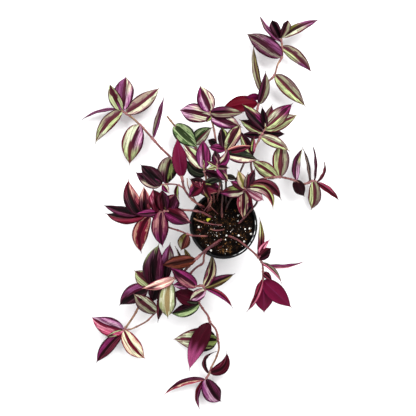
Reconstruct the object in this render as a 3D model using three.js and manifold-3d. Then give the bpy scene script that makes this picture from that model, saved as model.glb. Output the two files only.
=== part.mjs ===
// A potted tradescantia: a round nursery pot of soil with long leafy stems that climb over the rim
// and trail along the surface that the pot stands on. Millimetres, +Z up, origin at the middle of
// the pot's base.
import * as THREE from "three";
import { mergeVertices } from "three/addons/utils/BufferGeometryUtils.js";
import Module from "manifold-3d";

const wasm = await Module();
wasm.setup();

// Pot: the top of its lip is 105 mm across and 92 mm high.
const potHeight = 92;
const potBaseRadius = 35.5;
const potRimRadius = 52.5;
const potWall = 1.3;
const lipWidth = 4;
const lipDrop = 9;
const lipSkirt = 1.1;
const lipPlate = 1.6;
const lipRound = 0.9;
const lipSlant = 0.2;
const edgeRound = 1;
const potSides = 30;
const drainCount = 6;
const drainRadius = 3.5;
const drainCircle = 27;
const drainSides = 10;
const cutBeyond = 1;

// Soil: its level, the play between it and the pot, and the lie of its surface.
const soilLevel = 80;
const soilPlay = 0.3;
const soilRelief = 1.1;
const soilRings = [1, 0.75, 0.5, 0.25];
const crumbSunk = 0.45;
const crumbTurn = 0.4;
const waveAcross = 0.19;
const waveDown = 0.23;
const rippleAcross = 0.41;
const rippleDown = 0.33;
const rippleShare = 0.6;
const soilFootRound = 2;

// Stems and leaves.
const stemSides = 5;
const stemStep = 14;
const rootDepth = 13;
const rootUpright = 5;
const rootBelow = 2;
const holePlay = 1.3;
const holeSides = 6;
const holeAbove = 4;
const bladeThickness = 0.8;
const bladeStep = 15.5;
const fewestRows = 3;
const mostRows = 5;
const bladeTaper = 1.8;
const sheathWidth = 3.4;
const tipWidth = 1;

// The plan: places on the plant are given as seen from an eye straight above, in plan steps to the
// right and downwards, with a height in millimetres. A step covers less the nearer it is to the eye.
const eyeHeight = 1350;
const stepOnFloor = 1.653;
const eyeOnPlan = 208;
const potOnPlan = { across: 223.5, down: 225 };

function stepAt(height) {
  return (stepOnFloor * (eyeHeight - height)) / eyeHeight;
}

const eyeX = (eyeOnPlan - potOnPlan.across) * stepAt(potHeight);
const eyeY = (potOnPlan.down - eyeOnPlan) * stepAt(potHeight);

// The point in millimetres of a plan place.
function place([across, down, height]) {
  const step = stepAt(height);
  return new THREE.Vector3((across - eyeOnPlan) * step + eyeX, (eyeOnPlan - down) * step + eyeY, height);
}

// Each shoot: the stems it has, as plan places from the soil outwards, and its leaves. A leaf is
// the plan place where it leaves the stem, the plan place and height of its tip, its width in
// millimetres, and how it lies: arch lifts its middle, bend swings its middle to the left of its
// run, roll tips its left edge up (180 shows its underside), fold closes its two halves upwards,
// and peak is where it is widest, as a share of its length.
const shoots = [
  {
    name: "shoot_top_right",
    colour: 0x7d4a63,
    stems: [
      {
        radius: 1.7,
        path: [
          [230, 200, 80], [231, 193.5, 96.5], [233, 186, 99], [240, 172, 90], [246, 158, 74],
          [252, 140, 58], [256, 122, 46], [258, 106, 40], [262, 92, 36], [268, 82, 33], [274, 76, 30],
          [278, 64, 27], [282, 57, 26], [282, 46, 27], [281, 38, 30],
        ],
      },
    ],
    leaves: [
      [[282, 57], [247, 34, 12], 32, { arch: 7, peak: 0.45 }],
      [[281, 43], [260, 15, 24], 22, { arch: 4, roll: 55, bend: 6 }],
      [[280, 38], [272, 20, 40], 19, { roll: -30, fold: 30, peak: 0.7 }],
      [[281, 38], [288, 20, 42], 19, { roll: 30, fold: 30, peak: 0.7 }],
      [[281, 39], [319, 20, 22], 25, { arch: 5, roll: -50, bend: 2 }],
      [[282, 46], [311, 72, 12], 21, { arch: 4, roll: 35, bend: 3 }],
      [[275, 75], [305, 106, 12], 26, { arch: 6 }],
      [[262, 92], [254, 46, 18], 17, { arch: 2, roll: -50, bend: 4 }],
      [[259, 104], [265, 72, 46], 22, { arch: 3, roll: 25, fold: 30, bend: -3 }],
      [[258, 103], [222, 110, 38], 27, { arch: 9, roll: 180, bend: -3, peak: 0.45 }],
      [[260, 97], [246, 97, 46], 12, { roll: 180 }],
    ],
  },
  {
    name: "shoot_upper_middle",
    colour: 0x8a3f6b,
    stems: [
      {
        radius: 1.8,
        path: [
          [222, 217, 80], [221.8, 208, 90], [222.5, 197, 96], [221.5, 186, 98], [219, 168, 91],
          [217, 148, 80], [214, 130, 72], [211, 116, 70], [210, 111, 73],
        ],
      },
    ],
    leaves: [
      [[210, 112], [200, 86, 66], 29, { arch: 4 }],
      [[210, 117], [180, 110, 60], 31, { arch: 4, peak: 0.55 }],
      [[211, 116], [241, 127, 78], 27, { arch: 5 }],
      [[212, 112], [243, 113, 84], 20, { arch: 5 }],
      [[211, 116], [206, 122, 84], 8, {}],
      [[216, 144], [208, 140, 72], 13, { arch: 2 }],
    ],
  },
  {
    name: "shoot_green_pair",
    colour: 0x5f7d4e,
    stems: [
      {
        radius: 1.9,
        path: [
          [214, 202, 80], [213.5, 194.5, 97], [211, 186, 98], [208, 174, 84], [202, 160, 56],
          [195, 147, 32], [184, 135, 22], [175, 126, 20], [167, 116, 19],
        ],
      },
    ],
    leaves: [
      [[175, 126], [197, 147, 44], 31, { arch: 7, peak: 0.45 }],
      [[194, 144], [212, 128, 22], 24, { arch: 4, bend: 3 }],
      [[206, 173], [187, 160, 62], 24, { arch: 3, bend: 6 }],
    ],
  },
  {
    name: "shoot_upper_right",
    colour: 0x9a6a80,
    stems: [
      {
        radius: 1.8,
        path: [
          [239, 223, 80], [245, 217, 88], [251, 210, 95], [257, 202, 98], [257, 192, 92], [254, 178, 84],
          [251, 165, 78], [254, 150, 73], [260, 138, 69], [265, 129, 68], [266, 126, 71],
        ],
      },
    ],
    leaves: [
      [[265, 128], [292, 104, 60], 27, { arch: 5 }],
      [[265, 130], [297, 115, 52], 24, { arch: 4 }],
      [[265, 129], [243, 105, 60], 22, { arch: 5 }],
      [[263, 133], [240, 120, 50], 19, { arch: 3 }],
      [[261, 137], [289, 151, 62], 19, { arch: 5, bend: 2 }],
      [[265, 127], [262, 107, 80], 12, {}],
      [[265, 127], [272, 105, 52], 15, { arch: 2 }],
      [[253, 155], [254, 137, 92], 8, {}],
      [[252, 156], [240, 131, 84], 17, { arch: 2 }],
      [[262, 133], [285, 134, 58], 15, { arch: 2 }],
      [[261, 136], [243, 134, 62], 13, {}],
    ],
  },
  {
    name: "shoot_right",
    colour: 0x76465c,
    stems: [
      {
        radius: 1.8,
        path: [
          [237, 203.5, 80], [239, 197.5, 96], [243, 191.5, 99], [250, 184, 100], [262, 179, 88],
          [279, 177, 62], [290, 179, 44], [296, 181, 36], [302, 184, 28], [308, 183, 24], [312, 181, 22],
          [317, 182, 22],
        ],
      },
    ],
    leaves: [
      [[280, 177], [282, 143, 46], 28, { arch: 5, bend: 1, peak: 0.5 }],
      [[276, 178], [252, 161, 88], 24, { arch: 3, peak: 0.45 }],
      [[296, 181], [303, 149, 24], 20, { arch: 4, roll: 40, bend: 6 }],
      [[309, 183], [302, 147, 38], 17, { roll: 65, bend: -3 }],
      [[314, 181], [312, 144, 20], 13, { roll: 60, bend: -4 }],
      [[316, 182], [323, 160, 26], 13, { roll: 60, bend: -7 }],
      [[316, 182], [339, 201, 8], 15, { arch: 3, roll: 50, bend: 3 }],
      [[313, 181], [311, 209, 8], 22, { arch: 4, bend: 4, peak: 0.55 }],
      [[294, 181], [304, 196, 14], 20, { arch: 5, roll: 180, peak: 0.5 }],
    ],
  },
  {
    name: "shoot_middle_right",
    colour: 0x6a7350,
    stems: [
      {
        radius: 1.8,
        path: [
          [226, 203, 80], [226, 195, 97], [226, 188, 104], [226, 176, 109], [226, 162, 108],
          [226, 152, 107], [225, 147, 110],
        ],
      },
    ],
    leaves: [
      [[226, 154], [258, 160, 98], 23, { arch: 5, roll: -12 }],
      [[226, 150], [240, 125, 96], 22, { arch: 4, peak: 0.55 }],
      [[225, 149], [222, 127, 94], 20, { arch: 3, roll: 10 }],
      [[225, 150], [209, 147, 98], 15, { arch: 3 }],
      [[226, 152], [252, 146, 112], 14, { arch: 2, roll: 30 }],
      [[226, 176], [237, 179, 108], 9, { arch: 2 }],
    ],
  },
  {
    name: "shoot_middle",
    colour: 0x86436a,
    stems: [
      {
        radius: 1.8,
        path: [
          [209, 205, 80], [208, 198, 95], [207, 190, 101], [206, 178, 108], [204, 169, 111],
          [203, 165, 114],
        ],
      },
    ],
    leaves: [
      [[204, 168], [203, 140, 104], 24, { arch: 5 }],
      [[204, 168], [184, 145, 96], 22, { arch: 5 }],
      [[204, 171], [226, 180, 101], 15, { arch: 3, roll: -15 }],
    ],
  },
  {
    name: "shoot_middle_young",
    colour: 0xa34a7c,
    stems: [
      {
        radius: 1.6,
        path: [
          [217.5, 200.5, 80], [217.5, 196, 101], [219, 191, 113.5], [219.5, 178, 119], [217, 166, 124],
          [217, 162, 127],
        ],
      },
    ],
    leaves: [
      [[217, 166], [207, 161, 132], 8, {}],
      [[217, 167], [207, 169, 130], 8, {}],
      [[217, 164], [214, 155, 138], 7, {}],
      [[217, 165], [227, 149, 126], 16, { roll: 20, bend: -5 }],
      [[217, 167], [229, 168, 130], 9, {}],
      [[217, 168], [228, 181, 122], 15, { arch: 3 }],
      [[217, 165], [215, 150, 118], 15, { arch: 3, roll: -20 }],
    ],
  },
  {
    name: "shoot_crown_left",
    colour: 0x6d2644,
    stems: [
      {
        radius: 1.8,
        path: [
          [207.5, 211, 80], [210.5, 204, 95], [211, 198, 105], [207, 191, 112], [204, 185, 116],
          [201, 181, 118],
        ],
      },
    ],
    leaves: [
      [[204, 185], [222, 191, 102.5], 22, { arch: 6, fold: -25 }],
      [[201, 181], [212, 199, 106], 17, { arch: 4, fold: -20 }],
      [[204, 186], [196, 178, 118], 15, { arch: 3 }],
      [[202, 184], [191, 198, 104], 16, { arch: 3, roll: 20 }],
      [[204, 185], [212, 185, 128], 7, {}],
      [[204, 185], [223, 184, 121], 14, { arch: 3, roll: 20, bend: 3.5 }],
    ],
  },
  {
    name: "shoot_crown_right",
    colour: 0x94697e,
    stems: [
      {
        radius: 1.8,
        path: [
          [226, 209, 80], [230, 200.5, 94], [236, 195, 104], [243, 191, 114], [246, 188, 119],
        ],
      },
    ],
    leaves: [
      [[245, 192], [220, 193, 114], 20, { arch: 4 }],
      [[246, 190], [230, 181, 120], 13, { arch: 2, roll: 20 }],
      [[245, 193], [243, 218, 102], 21, { arch: 5 }],
      [[246, 191], [253, 209, 108], 15, { arch: 3, roll: 50 }],
      [[246, 188], [272, 210, 100], 16, { arch: 6, bend: 16 }],
      [[246, 188], [280, 200, 90], 17, { arch: 6, bend: 15, peak: 0.6 }],
      [[248, 192], [265, 198, 110], 16, { arch: 3, peak: 0.62 }],
      [[246, 187], [247, 173, 126], 9, { arch: 2 }],
      [[247, 187], [255, 170, 110], 10, { arch: 4 }],
      [[244, 188], [238, 171, 118], 14, { arch: 2, roll: -20 }],
    ],
  },
  {
    name: "shoot_left",
    colour: 0x7a2c4f,
    stems: [
      {
        radius: 2,
        path: [
          [211, 217, 80], [209, 216, 90], [203, 212.7, 96], [196, 211, 98.5], [180, 210, 98],
          [165, 211, 92], [150, 214, 84], [140, 215, 80],
        ],
      },
      {
        radius: 1.6,
        path: [
          [207, 236, 80], [199, 236, 93], [190, 235, 98], [180, 231, 94], [168, 227, 86], [158, 221, 83],
          [150, 215, 84],
        ],
      },
    ],
    leaves: [
      [[160, 211], [153, 189, 124], 27, { arch: -5, peak: 0.5 }],
      [[164, 211], [162, 190, 130], 22, { arch: -4, peak: 0.55 }],
      [[168, 211], [175, 194, 122], 27, { arch: -4, peak: 0.55 }],
      [[166, 211], [191, 223, 104], 27, { arch: 4 }],
      [[162, 211], [163, 246, 66], 28, { arch: 12, bend: -3, peak: 0.42 }],
      [[150, 217], [142, 252, 54], 26, { arch: 6, bend: -9, peak: 0.5 }],
      [[148, 215], [106, 213, 42], 28, { arch: 6, roll: 35, bend: 6 }],
      [[140, 215], [104, 205, 52], 20, { arch: 4, roll: 35, bend: 2 }],
      [[142, 215], [129, 180, 72], 26, { arch: 8, bend: 6 }],
      [[146, 214], [144, 187, 80], 20, { arch: 6 }],
      [[158, 211], [136, 214, 98], 13, { arch: 3 }],
      [[150, 216], [141, 220, 78], 8, {}],
      [[187, 234], [181, 250, 96], 20, { arch: 3, peak: 0.5 }],
    ],
  },
  {
    name: "shoot_upper_left",
    colour: 0x8b6a72,
    stems: [
      {
        radius: 2,
        path: [
          [204, 207, 80], [200, 204.8, 96], [195, 202, 99], [189, 196, 98], [184, 188, 94],
          [182, 178, 83], [178, 168, 70], [171, 158, 56], [160, 147, 42], [152, 138, 36], [141, 126, 30],
          [130, 116, 27], [124, 112, 27], [121, 110, 29],
        ],
      },
      {
        radius: 1.5,
        path: [
          [184, 188, 94], [178, 185, 94], [170, 184, 92], [161, 185, 91],
        ],
      },
    ],
    leaves: [
      [[182, 177], [177, 139, 64], 24, { arch: 5, roll: 180, peak: 0.45 }],
      [[162, 185], [141, 165, 76], 27, { arch: 4 }],
      [[162, 185], [136, 172, 70], 22, { arch: 3, bend: 3 }],
      [[163, 185], [169, 194, 98], 11, {}],
      [[178, 185], [180, 203, 88], 11, { roll: 30, bend: -4 }],
      [[171, 158], [167, 185, 64], 32, { arch: 5, bend: -3, peak: 0.5 }],
      [[122, 111], [126, 77, 20], 33, { arch: 5, peak: 0.55 }],
      [[126, 113], [159, 88, 14], 27, { arch: 5, bend: -3, peak: 0.45 }],
      [[122, 110], [110, 84, 30], 21, { arch: 4, bend: 2 }],
      [[122, 110], [80, 121, 6], 13, { arch: 3, roll: 60, bend: -8 }],
      [[122, 111], [96, 143, 12], 23, { arch: 6, bend: -5 }],
      [[139, 125], [130, 164, 12], 36, { arch: 5, bend: -4, peak: 0.45 }],
      [[152, 138], [164, 97, 20], 17, { arch: 3, roll: 60 }],
    ],
  },
  {
    name: "shoot_lower_left",
    colour: 0x5a2b45,
    stems: [
      {
        radius: 2.4,
        path: [
          [221, 239.5, 80], [214, 244, 95], [206, 250, 100.3], [196, 259, 97], [188, 267, 84],
          [180, 275, 70], [168, 281, 60], [156, 284, 53], [149, 287, 47], [142.5, 298, 37],
          [136, 312, 27], [129, 323, 21], [123, 331, 19],
        ],
      },
      {
        radius: 1.5,
        path: [
          [168, 281, 60], [168, 292, 45], [164, 302, 31], [159, 309, 22], [153, 315, 17], [147, 321, 14],
          [140, 325, 13], [131, 329, 16], [124, 330, 19],
        ],
      },
    ],
    leaves: [
      [[196, 259], [163, 265, 79], 23, { arch: 3, roll: -15, peak: 0.5 }],
      [[155, 284], [159, 245, 66], 36, { arch: 8, bend: 4 }],
      [[164, 283], [170, 244, 66], 21, { arch: 6, peak: 0.6 }],
      [[148, 288], [120, 305, 26], 31, { arch: 8, bend: -4 }],
      [[152, 285], [135, 271, 40], 25, { arch: 4, peak: 0.5 }],
      [[175, 279], [143, 288, 66], 17, { arch: 5, bend: 2 }],
      [[166, 282], [158, 321, 26], 16, { arch: 8 }],
      [[124, 330], [92, 317, 10], 32, { arch: 6, bend: 3 }],
      [[123, 331], [97, 362, 8], 22, { arch: 6, bend: -3, peak: 0.5 }],
      [[124, 330], [145, 358, 8], 28, { arch: 6, bend: -3, peak: 0.5 }],
      [[123, 331], [106, 337, 28], 10, {}],
      [[156, 312], [134, 294, 52], 26, { arch: 6, peak: 0.5 }],
      [[157, 284], [152, 302, 36], 22, {}],
      [[170, 281], [168, 317, 42], 30, { arch: 10, peak: 0.55, bend: -2 }],
      [[191, 263], [184, 248, 84], 9, { roll: 20 }],
      [[181, 274], [175, 247, 82], 8, { roll: 40, bend: -4 }],
    ],
  },
  {
    name: "shoot_bottom",
    colour: 0x8d5a6c,
    stems: [
      {
        radius: 1.8,
        path: [
          [218, 243, 80], [213, 246, 91], [206, 251, 95.3], [204, 256, 94], [203, 263, 88],
          [197, 267, 82], [191, 273, 76], [188, 281, 70], [193, 286, 66], [203, 286, 63], [205, 292, 57],
          [199, 301, 48], [203, 309, 41], [208, 316, 35], [210, 322, 31], [216, 330, 26], [218, 340, 22],
          [219, 348, 20], [216, 358, 18], [212, 366, 16], [209, 374, 15], [205, 380, 15],
        ],
      },
    ],
    leaves: [
      [[205, 286], [211, 254, 56], 18, { arch: 5, bend: -6 }],
      [[204, 287], [234, 274, 54], 17, { arch: 4 }],
      [[205, 288], [232, 308, 44], 10, { arch: 4, bend: 7 }],
      [[205, 290], [190, 300, 66], 19, { arch: 3, peak: 0.5 }],
      [[196, 286], [171, 268, 95], 24, { arch: 5 }],
      [[190, 285], [173, 285, 76], 16, { arch: 3 }],
      [[199, 301], [174, 292, 60], 27, { arch: 6, roll: 180, peak: 0.5 }],
      [[200, 303], [171, 313, 30], 22, { arch: 4, peak: 0.5, bend: 3 }],
      [[199, 301], [184, 300, 54], 12, { arch: 2 }],
      [[210, 323], [190, 369, 14], 30, { arch: 6, roll: 180, bend: -5 }],
      [[217, 340], [174, 339, 4], 41, { arch: 5, peak: 0.36 }],
      [[209, 374], [217, 352, 26], 11, { roll: 50, bend: 15 }],
      [[210, 372], [226, 352, 22], 20, { arch: 3, bend: -11 }],
      [[205, 380], [165, 395, 6], 15, { arch: 3, roll: 50, bend: -9 }],
      [[205, 380], [201, 410, 6], 14, { arch: 3, roll: 55, bend: -9 }],
      [[206, 379], [221, 401, 8], 31, { arch: 5, bend: -4, peak: 0.55 }],
    ],
  },
  {
    name: "shoot_lower_right",
    colour: 0x77284a,
    stems: [
      {
        radius: 1.7,
        path: [
          [229, 236, 80], [238, 240, 90], [247, 247, 98], [253, 252, 96], [258, 257, 90], [262, 263, 80],
          [263, 272, 68], [263, 281, 60],
        ],
      },
    ],
    leaves: [
      [[258, 258], [259.5, 219, 96], 13, { arch: 4, roll: 30, bend: -3 }],
      [[259, 259], [271, 248, 104], 17, { arch: 2, roll: -20, peak: 0.5 }],
      [[259, 257], [270, 240, 106], 10, { bend: 3 }],
      [[262, 264], [304, 261, 58], 12, { arch: 5, roll: 50, bend: -5 }],
      [[262, 262], [281, 283, 64], 8, { arch: 4, bend: 5 }],
      [[263, 280], [264, 312, 34], 31, { arch: 6, roll: 180, peak: 0.56 }],
      [[263, 280], [291, 307, 38], 29, { arch: 6, roll: 180, peak: 0.42 }],
      [[263, 279], [247, 311, 34], 12, { arch: 5, roll: 40, bend: 3 }],
      [[263, 272], [272, 280, 66], 11, {}],
    ],
  },
];

// Perlite crumbs on the soil: plan places and radii in millimetres.
const perlite = [
  [199, 226, 1.9], [210, 250, 2.1], [226, 235, 1.4], [239, 236, 1.6], [249, 233, 1.8], [244, 242, 1.4],
  [231, 230, 1.2], [248, 227, 1.7], [218, 233, 1.3], [226, 250, 1.3], [236, 247, 1.2], [245, 234, 1.1],
  [214, 221, 1.5], [201, 217, 1.3], [232, 222, 1.2], [241, 226, 1.3],
];

// Joining and cutting.

function solidOf(geometry) {
  const bare = geometry.clone();
  bare.deleteAttribute("normal");
  bare.deleteAttribute("uv");
  const merged = mergeVertices(bare, 1e-4);
  const corners = [...merged.index.array];
  const kept = [];
  for (let i = 0; i < corners.length; i += 3) {
    const [a, b, c] = corners.slice(i, i + 3);
    if (a !== b && b !== c && c !== a) kept.push(a, b, c);
  }
  const vertProperties = new Float32Array(merged.attributes.position.array);
  const triVerts = new Uint32Array(kept);
  return new wasm.Manifold(new wasm.Mesh({ numProp: 3, vertProperties, triVerts }));
}

function geometryOf(solid) {
  const mesh = solid.getMesh();
  const geometry = new THREE.BufferGeometry();
  geometry.setAttribute("position", new THREE.BufferAttribute(new Float32Array(mesh.vertProperties), 3));
  geometry.setIndex(new THREE.BufferAttribute(new Uint32Array(mesh.triVerts), 1));
  geometry.computeVertexNormals();
  return geometry;
}

// An upright cylinder from one height to another.
function upright(radius, x, y, low, high, sides) {
  const geometry = new THREE.CylinderGeometry(radius, radius, high - low, sides);
  geometry.rotateX(Math.PI / 2);
  geometry.translate(x, y, (low + high) / 2);
  return solidOf(geometry);
}

// A polygon turned round the upright axis.
function turned(outline, sides) {
  const points = outline.map(([radius, height]) => new THREE.Vector2(radius, height));
  const geometry = new THREE.LatheGeometry(points, sides);
  geometry.rotateX(Math.PI / 2);
  return geometry;
}

// The pot: a tapered wall with a flat floor, a lip turned outwards and down, and drain holes.
function potSolid() {
  const bodyTop = potRimRadius - lipWidth + potWall;
  const lipInside = potRimRadius - lipWidth;
  const outline = [
    [0, 0],
    [potBaseRadius - edgeRound, 0],
    [potBaseRadius, edgeRound],
    [bodyTop - lipSlant, potHeight - lipDrop],
    [bodyTop, potHeight - lipPlate],
    [potRimRadius - lipSkirt, potHeight - lipPlate],
    [potRimRadius - lipSkirt, potHeight - lipDrop],
    [potRimRadius - lipSlant, potHeight - lipDrop],
    [potRimRadius, potHeight - lipRound],
    [potRimRadius - lipRound, potHeight],
    [lipInside + lipRound, potHeight],
    [lipInside, potHeight - edgeRound],
    [potBaseRadius - potWall, potWall + edgeRound],
    [potBaseRadius - potWall - edgeRound, potWall],
    [0, potWall],
  ];
  let pot = solidOf(turned(outline, potSides));
  for (let i = 0; i < drainCount; i += 1) {
    const angle = ((i + 0.5) / drainCount) * 2 * Math.PI;
    const x = drainCircle * Math.cos(angle);
    const y = drainCircle * Math.sin(angle);
    pot = pot.subtract(upright(drainRadius, x, y, -cutBeyond, potWall + cutBeyond, drainSides));
  }
  return pot;
}

// Inner radius of the pot at a height.
function potInside(height) {
  const share = (height - potWall) / (potHeight - edgeRound - potWall);
  const low = potBaseRadius - potWall;
  return low + (potRimRadius - lipWidth - low) * share;
}

// The soil's surface rises and dips in gentle waves, and lies flat at the pot's wall.
function soilSurface(x, y, edgeShare) {
  const waves = Math.sin(x * waveAcross + 1) * Math.cos(y * waveDown);
  const ripples = rippleShare * Math.sin(x * rippleAcross - y * rippleDown);
  return soilLevel + soilRelief * (waves + ripples) * (1 - edgeShare ** 4);
}

// The soil fills the pot, with perlite crumbs sunk in its surface and a plain hole for each stem.
function soilSolid(rootedStems) {
  const bottom = potWall + soilPlay;
  const topRadius = potInside(soilLevel) - soilPlay;
  const side = Math.cos(Math.PI / potSides);
  const foot = bottom + soilFootRound;
  const outline = [
    [0, bottom],
    [(potInside(bottom) - soilFootRound - soilPlay) * side, bottom],
    [(potInside(foot) - soilPlay) * side, foot],
  ];
  for (const share of soilRings) outline.push([topRadius * side * share, soilLevel]);
  outline.push([0, soilLevel]);
  const geometry = turned(outline, potSides);
  const position = geometry.attributes.position;
  for (let i = 0; i < position.count; i += 1) {
    if (position.getZ(i) < soilLevel - soilRelief) continue;
    const x = position.getX(i);
    const y = position.getY(i);
    position.setZ(i, soilSurface(x, y, Math.hypot(x, y) / topRadius));
  }
  let soil = solidOf(geometry);
  for (const [across, down, radius] of perlite) {
    const spot = place([across, down, soilLevel]);
    const crumb = new THREE.OctahedronGeometry(radius);
    crumb.rotateZ(across);
    crumb.rotateX(crumbTurn + down);
    const surface = soilSurface(spot.x, spot.y, Math.hypot(spot.x, spot.y) / topRadius);
    crumb.translate(spot.x, spot.y, surface + radius * (1 - 2 * crumbSunk));
    soil = soil.add(solidOf(crumb));
  }
  for (const { path, radius } of rootedStems) {
    const root = place(path[0]);
    const depth = soilLevel - rootDepth - soilPlay;
    const above = soilLevel + holeAbove;
    soil = soil.subtract(upright(radius + holePlay, root.x, root.y, depth, above, holeSides));
  }
  return soil;
}

// A stem's middle line. One that starts at the soil stands upright in its hole first.
function stemCurve({ path }) {
  const points = path.map(place);
  if (path[0][2] === soilLevel) {
    const root = points[0];
    points[0] = new THREE.Vector3(root.x, root.y, soilLevel + rootUpright);
    points.unshift(new THREE.Vector3(root.x, root.y, soilLevel - rootBelow));
    points.unshift(new THREE.Vector3(root.x, root.y, soilLevel - rootDepth));
  }
  return new THREE.CatmullRomCurve3(points, false, "centripetal");
}

function stemSteps(curve) {
  return Math.round(curve.getLength() / stemStep);
}

function stemGeometry(stem) {
  const curve = stemCurve(stem);
  const section = new THREE.Shape();
  for (let i = 0; i < stemSides; i += 1) {
    const angle = (i / stemSides) * 2 * Math.PI;
    const method = i === 0 ? "moveTo" : "lineTo";
    section[method](stem.radius * Math.cos(angle), stem.radius * Math.sin(angle));
  }
  section.closePath();
  const settings = { steps: stemSteps(curve), bevelEnabled: false, extrudePath: curve };
  return new THREE.ExtrudeGeometry(section, settings);
}

// Half the width of a leaf at a share of its length: a narrow sheath, a round shoulder, a long tip.
function halfWidth(share, width, peak) {
  const round = Math.sqrt(1 - (1 - share / peak) ** 2);
  const pointed = 1 - ((share - peak) / (1 - peak)) ** bladeTaper;
  const least = (sheathWidth * (1 - share) + tipWidth * share) / 2;
  return Math.max((width / 2) * (share < peak ? round : pointed), least);
}

// A leaf: a thin closed blade of two halves that meet at its midrib, three points to a row.
function bladeGeometry(base, tip, width, { arch = 0, bend = 0, roll = 0, fold = 12, peak = 0.4 }) {
  const run = tip.clone().sub(base);
  const upwards = new THREE.Vector3(0, 0, 1);
  const leftwards = upwards.clone().cross(run).normalize();
  const sway = upwards.clone().multiplyScalar(arch).addScaledVector(leftwards, bend);
  const rows = Math.min(mostRows, Math.max(fewestRows, Math.round(run.length() / bladeStep)));
  const foldAngle = THREE.MathUtils.degToRad(fold);
  const rollAngle = THREE.MathUtils.degToRad(roll);
  const positions = [];
  for (let row = 0; row <= rows; row += 1) {
    const share = row / rows;
    const middle = base.clone().addScaledVector(run, share).addScaledVector(sway, 4 * share * (1 - share));
    const along = run.clone().addScaledVector(sway, 4 * (1 - 2 * share)).normalize();
    const left = upwards.clone().cross(along).normalize().applyAxisAngle(along, rollAngle);
    const normal = along.clone().cross(left);
    const half = halfWidth(share, width, peak);
    for (const side of [-1, 0, 1]) {
      const spot = middle.clone().addScaledVector(left, side * half * Math.cos(foldAngle));
      spot.addScaledVector(normal, Math.abs(side) * half * Math.sin(foldAngle));
      for (const face of [1, -1]) {
        const thick = (face * bladeThickness) / 2 / Math.cos(foldAngle);
        positions.push(...spot.clone().addScaledVector(normal, thick).toArray());
      }
    }
  }
  const at = (row, column, face) => row * 6 + column * 2 + face;
  const index = [];
  for (let row = 0; row < rows; row += 1) {
    for (const column of [0, 1]) {
      const [a, b] = [at(row, column, 0), at(row, column + 1, 0)];
      const [c, d] = [at(row + 1, column + 1, 0), at(row + 1, column, 0)];
      index.push(a, d, c, a, c, b);
      index.push(a + 1, c + 1, d + 1, a + 1, b + 1, c + 1);
    }
    const [r, s] = [at(row, 0, 0), at(row + 1, 0, 0)];
    index.push(r, r + 1, s + 1, r, s + 1, s);
    const [l, m] = [at(row, 2, 0), at(row + 1, 2, 0)];
    index.push(l, m + 1, l + 1, l, m, m + 1);
  }
  for (const column of [0, 1]) {
    const [a, b] = [at(0, column, 0), at(0, column + 1, 0)];
    index.push(a + 1, a, b, a + 1, b, b + 1);
    const [c, d] = [at(rows, column, 0), at(rows, column + 1, 0)];
    index.push(c + 1, d, c, c + 1, d + 1, d);
  }
  const geometry = new THREE.BufferGeometry();
  geometry.setAttribute("position", new THREE.Float32BufferAttribute(positions, 3));
  geometry.setIndex(index);
  return geometry;
}

// The point on a shoot's stems that lies nearest to a plan place.
function seatOn(stems, [across, down]) {
  let best = null;
  let bestGap = Infinity;
  for (const stem of stems) {
    const curve = stemCurve(stem);
    const line = curve.getSpacedPoints(stemSteps(curve));
    for (let i = 1; i < line.length; i += 1) {
      for (let share = 0; share <= 1; share += 0.1) {
        const point = line[i - 1].clone().lerp(line[i], share);
        const seen = place([across, down, point.z]);
        const gap = Math.hypot(seen.x - point.x, seen.y - point.y);
        if (gap < bestGap) {
          bestGap = gap;
          best = point;
        }
      }
    }
  }
  return best;
}

// A leafy stem: its stems with every leaf rooted in them, joined into one body.
function shootSolid({ stems, leaves }) {
  let shoot = solidOf(stemGeometry(stems[0]));
  for (const stem of stems.slice(1)) shoot = shoot.add(solidOf(stemGeometry(stem)));
  for (const [seat, tip, width, lie] of leaves) {
    const blade = bladeGeometry(seatOn(stems, seat), place(tip), width, lie);
    shoot = shoot.add(solidOf(blade));
  }
  return shoot;
}

const plant = new THREE.Group();

function addPart(name, solid, colour, roughness) {
  const material = new THREE.MeshStandardMaterial({ color: colour, roughness, metalness: 0 });
  const mesh = new THREE.Mesh(geometryOf(solid), material);
  mesh.name = name;
  plant.add(mesh);
}

const rooted = shoots.flatMap(({ stems }) => stems.filter(({ path }) => path[0][2] === soilLevel));
addPart("nursery_pot", potSolid(), 0x17171a, 0.45);
addPart("potting_soil", soilSolid(rooted), 0x2a211b, 0.95);
for (const shoot of shoots) addPart(shoot.name, shootSolid(shoot), shoot.colour, 0.5);

export default plant;
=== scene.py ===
# A potted tradescantia seen from straight above: a black nursery pot of soil with fifteen leafy
# shoots that climb over its rim and trail along the floor. Each piece stands where the packed
# model has its node, and gets the finer shapes and the colours here.
import math
import bmesh
import bpy
import numpy as np
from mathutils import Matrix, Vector, noise


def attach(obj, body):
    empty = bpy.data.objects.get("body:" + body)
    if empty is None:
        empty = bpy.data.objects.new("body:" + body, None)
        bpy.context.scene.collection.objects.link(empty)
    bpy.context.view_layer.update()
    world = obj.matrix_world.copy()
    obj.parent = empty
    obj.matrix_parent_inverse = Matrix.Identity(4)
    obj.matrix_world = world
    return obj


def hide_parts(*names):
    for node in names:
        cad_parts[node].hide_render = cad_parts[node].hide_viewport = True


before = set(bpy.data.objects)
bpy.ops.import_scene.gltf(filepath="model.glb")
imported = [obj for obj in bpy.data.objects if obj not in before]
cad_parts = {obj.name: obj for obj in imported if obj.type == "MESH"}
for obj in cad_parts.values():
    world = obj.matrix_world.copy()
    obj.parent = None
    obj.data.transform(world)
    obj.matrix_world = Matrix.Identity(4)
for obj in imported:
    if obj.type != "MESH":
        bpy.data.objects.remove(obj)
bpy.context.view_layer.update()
print("frame loaded")

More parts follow.
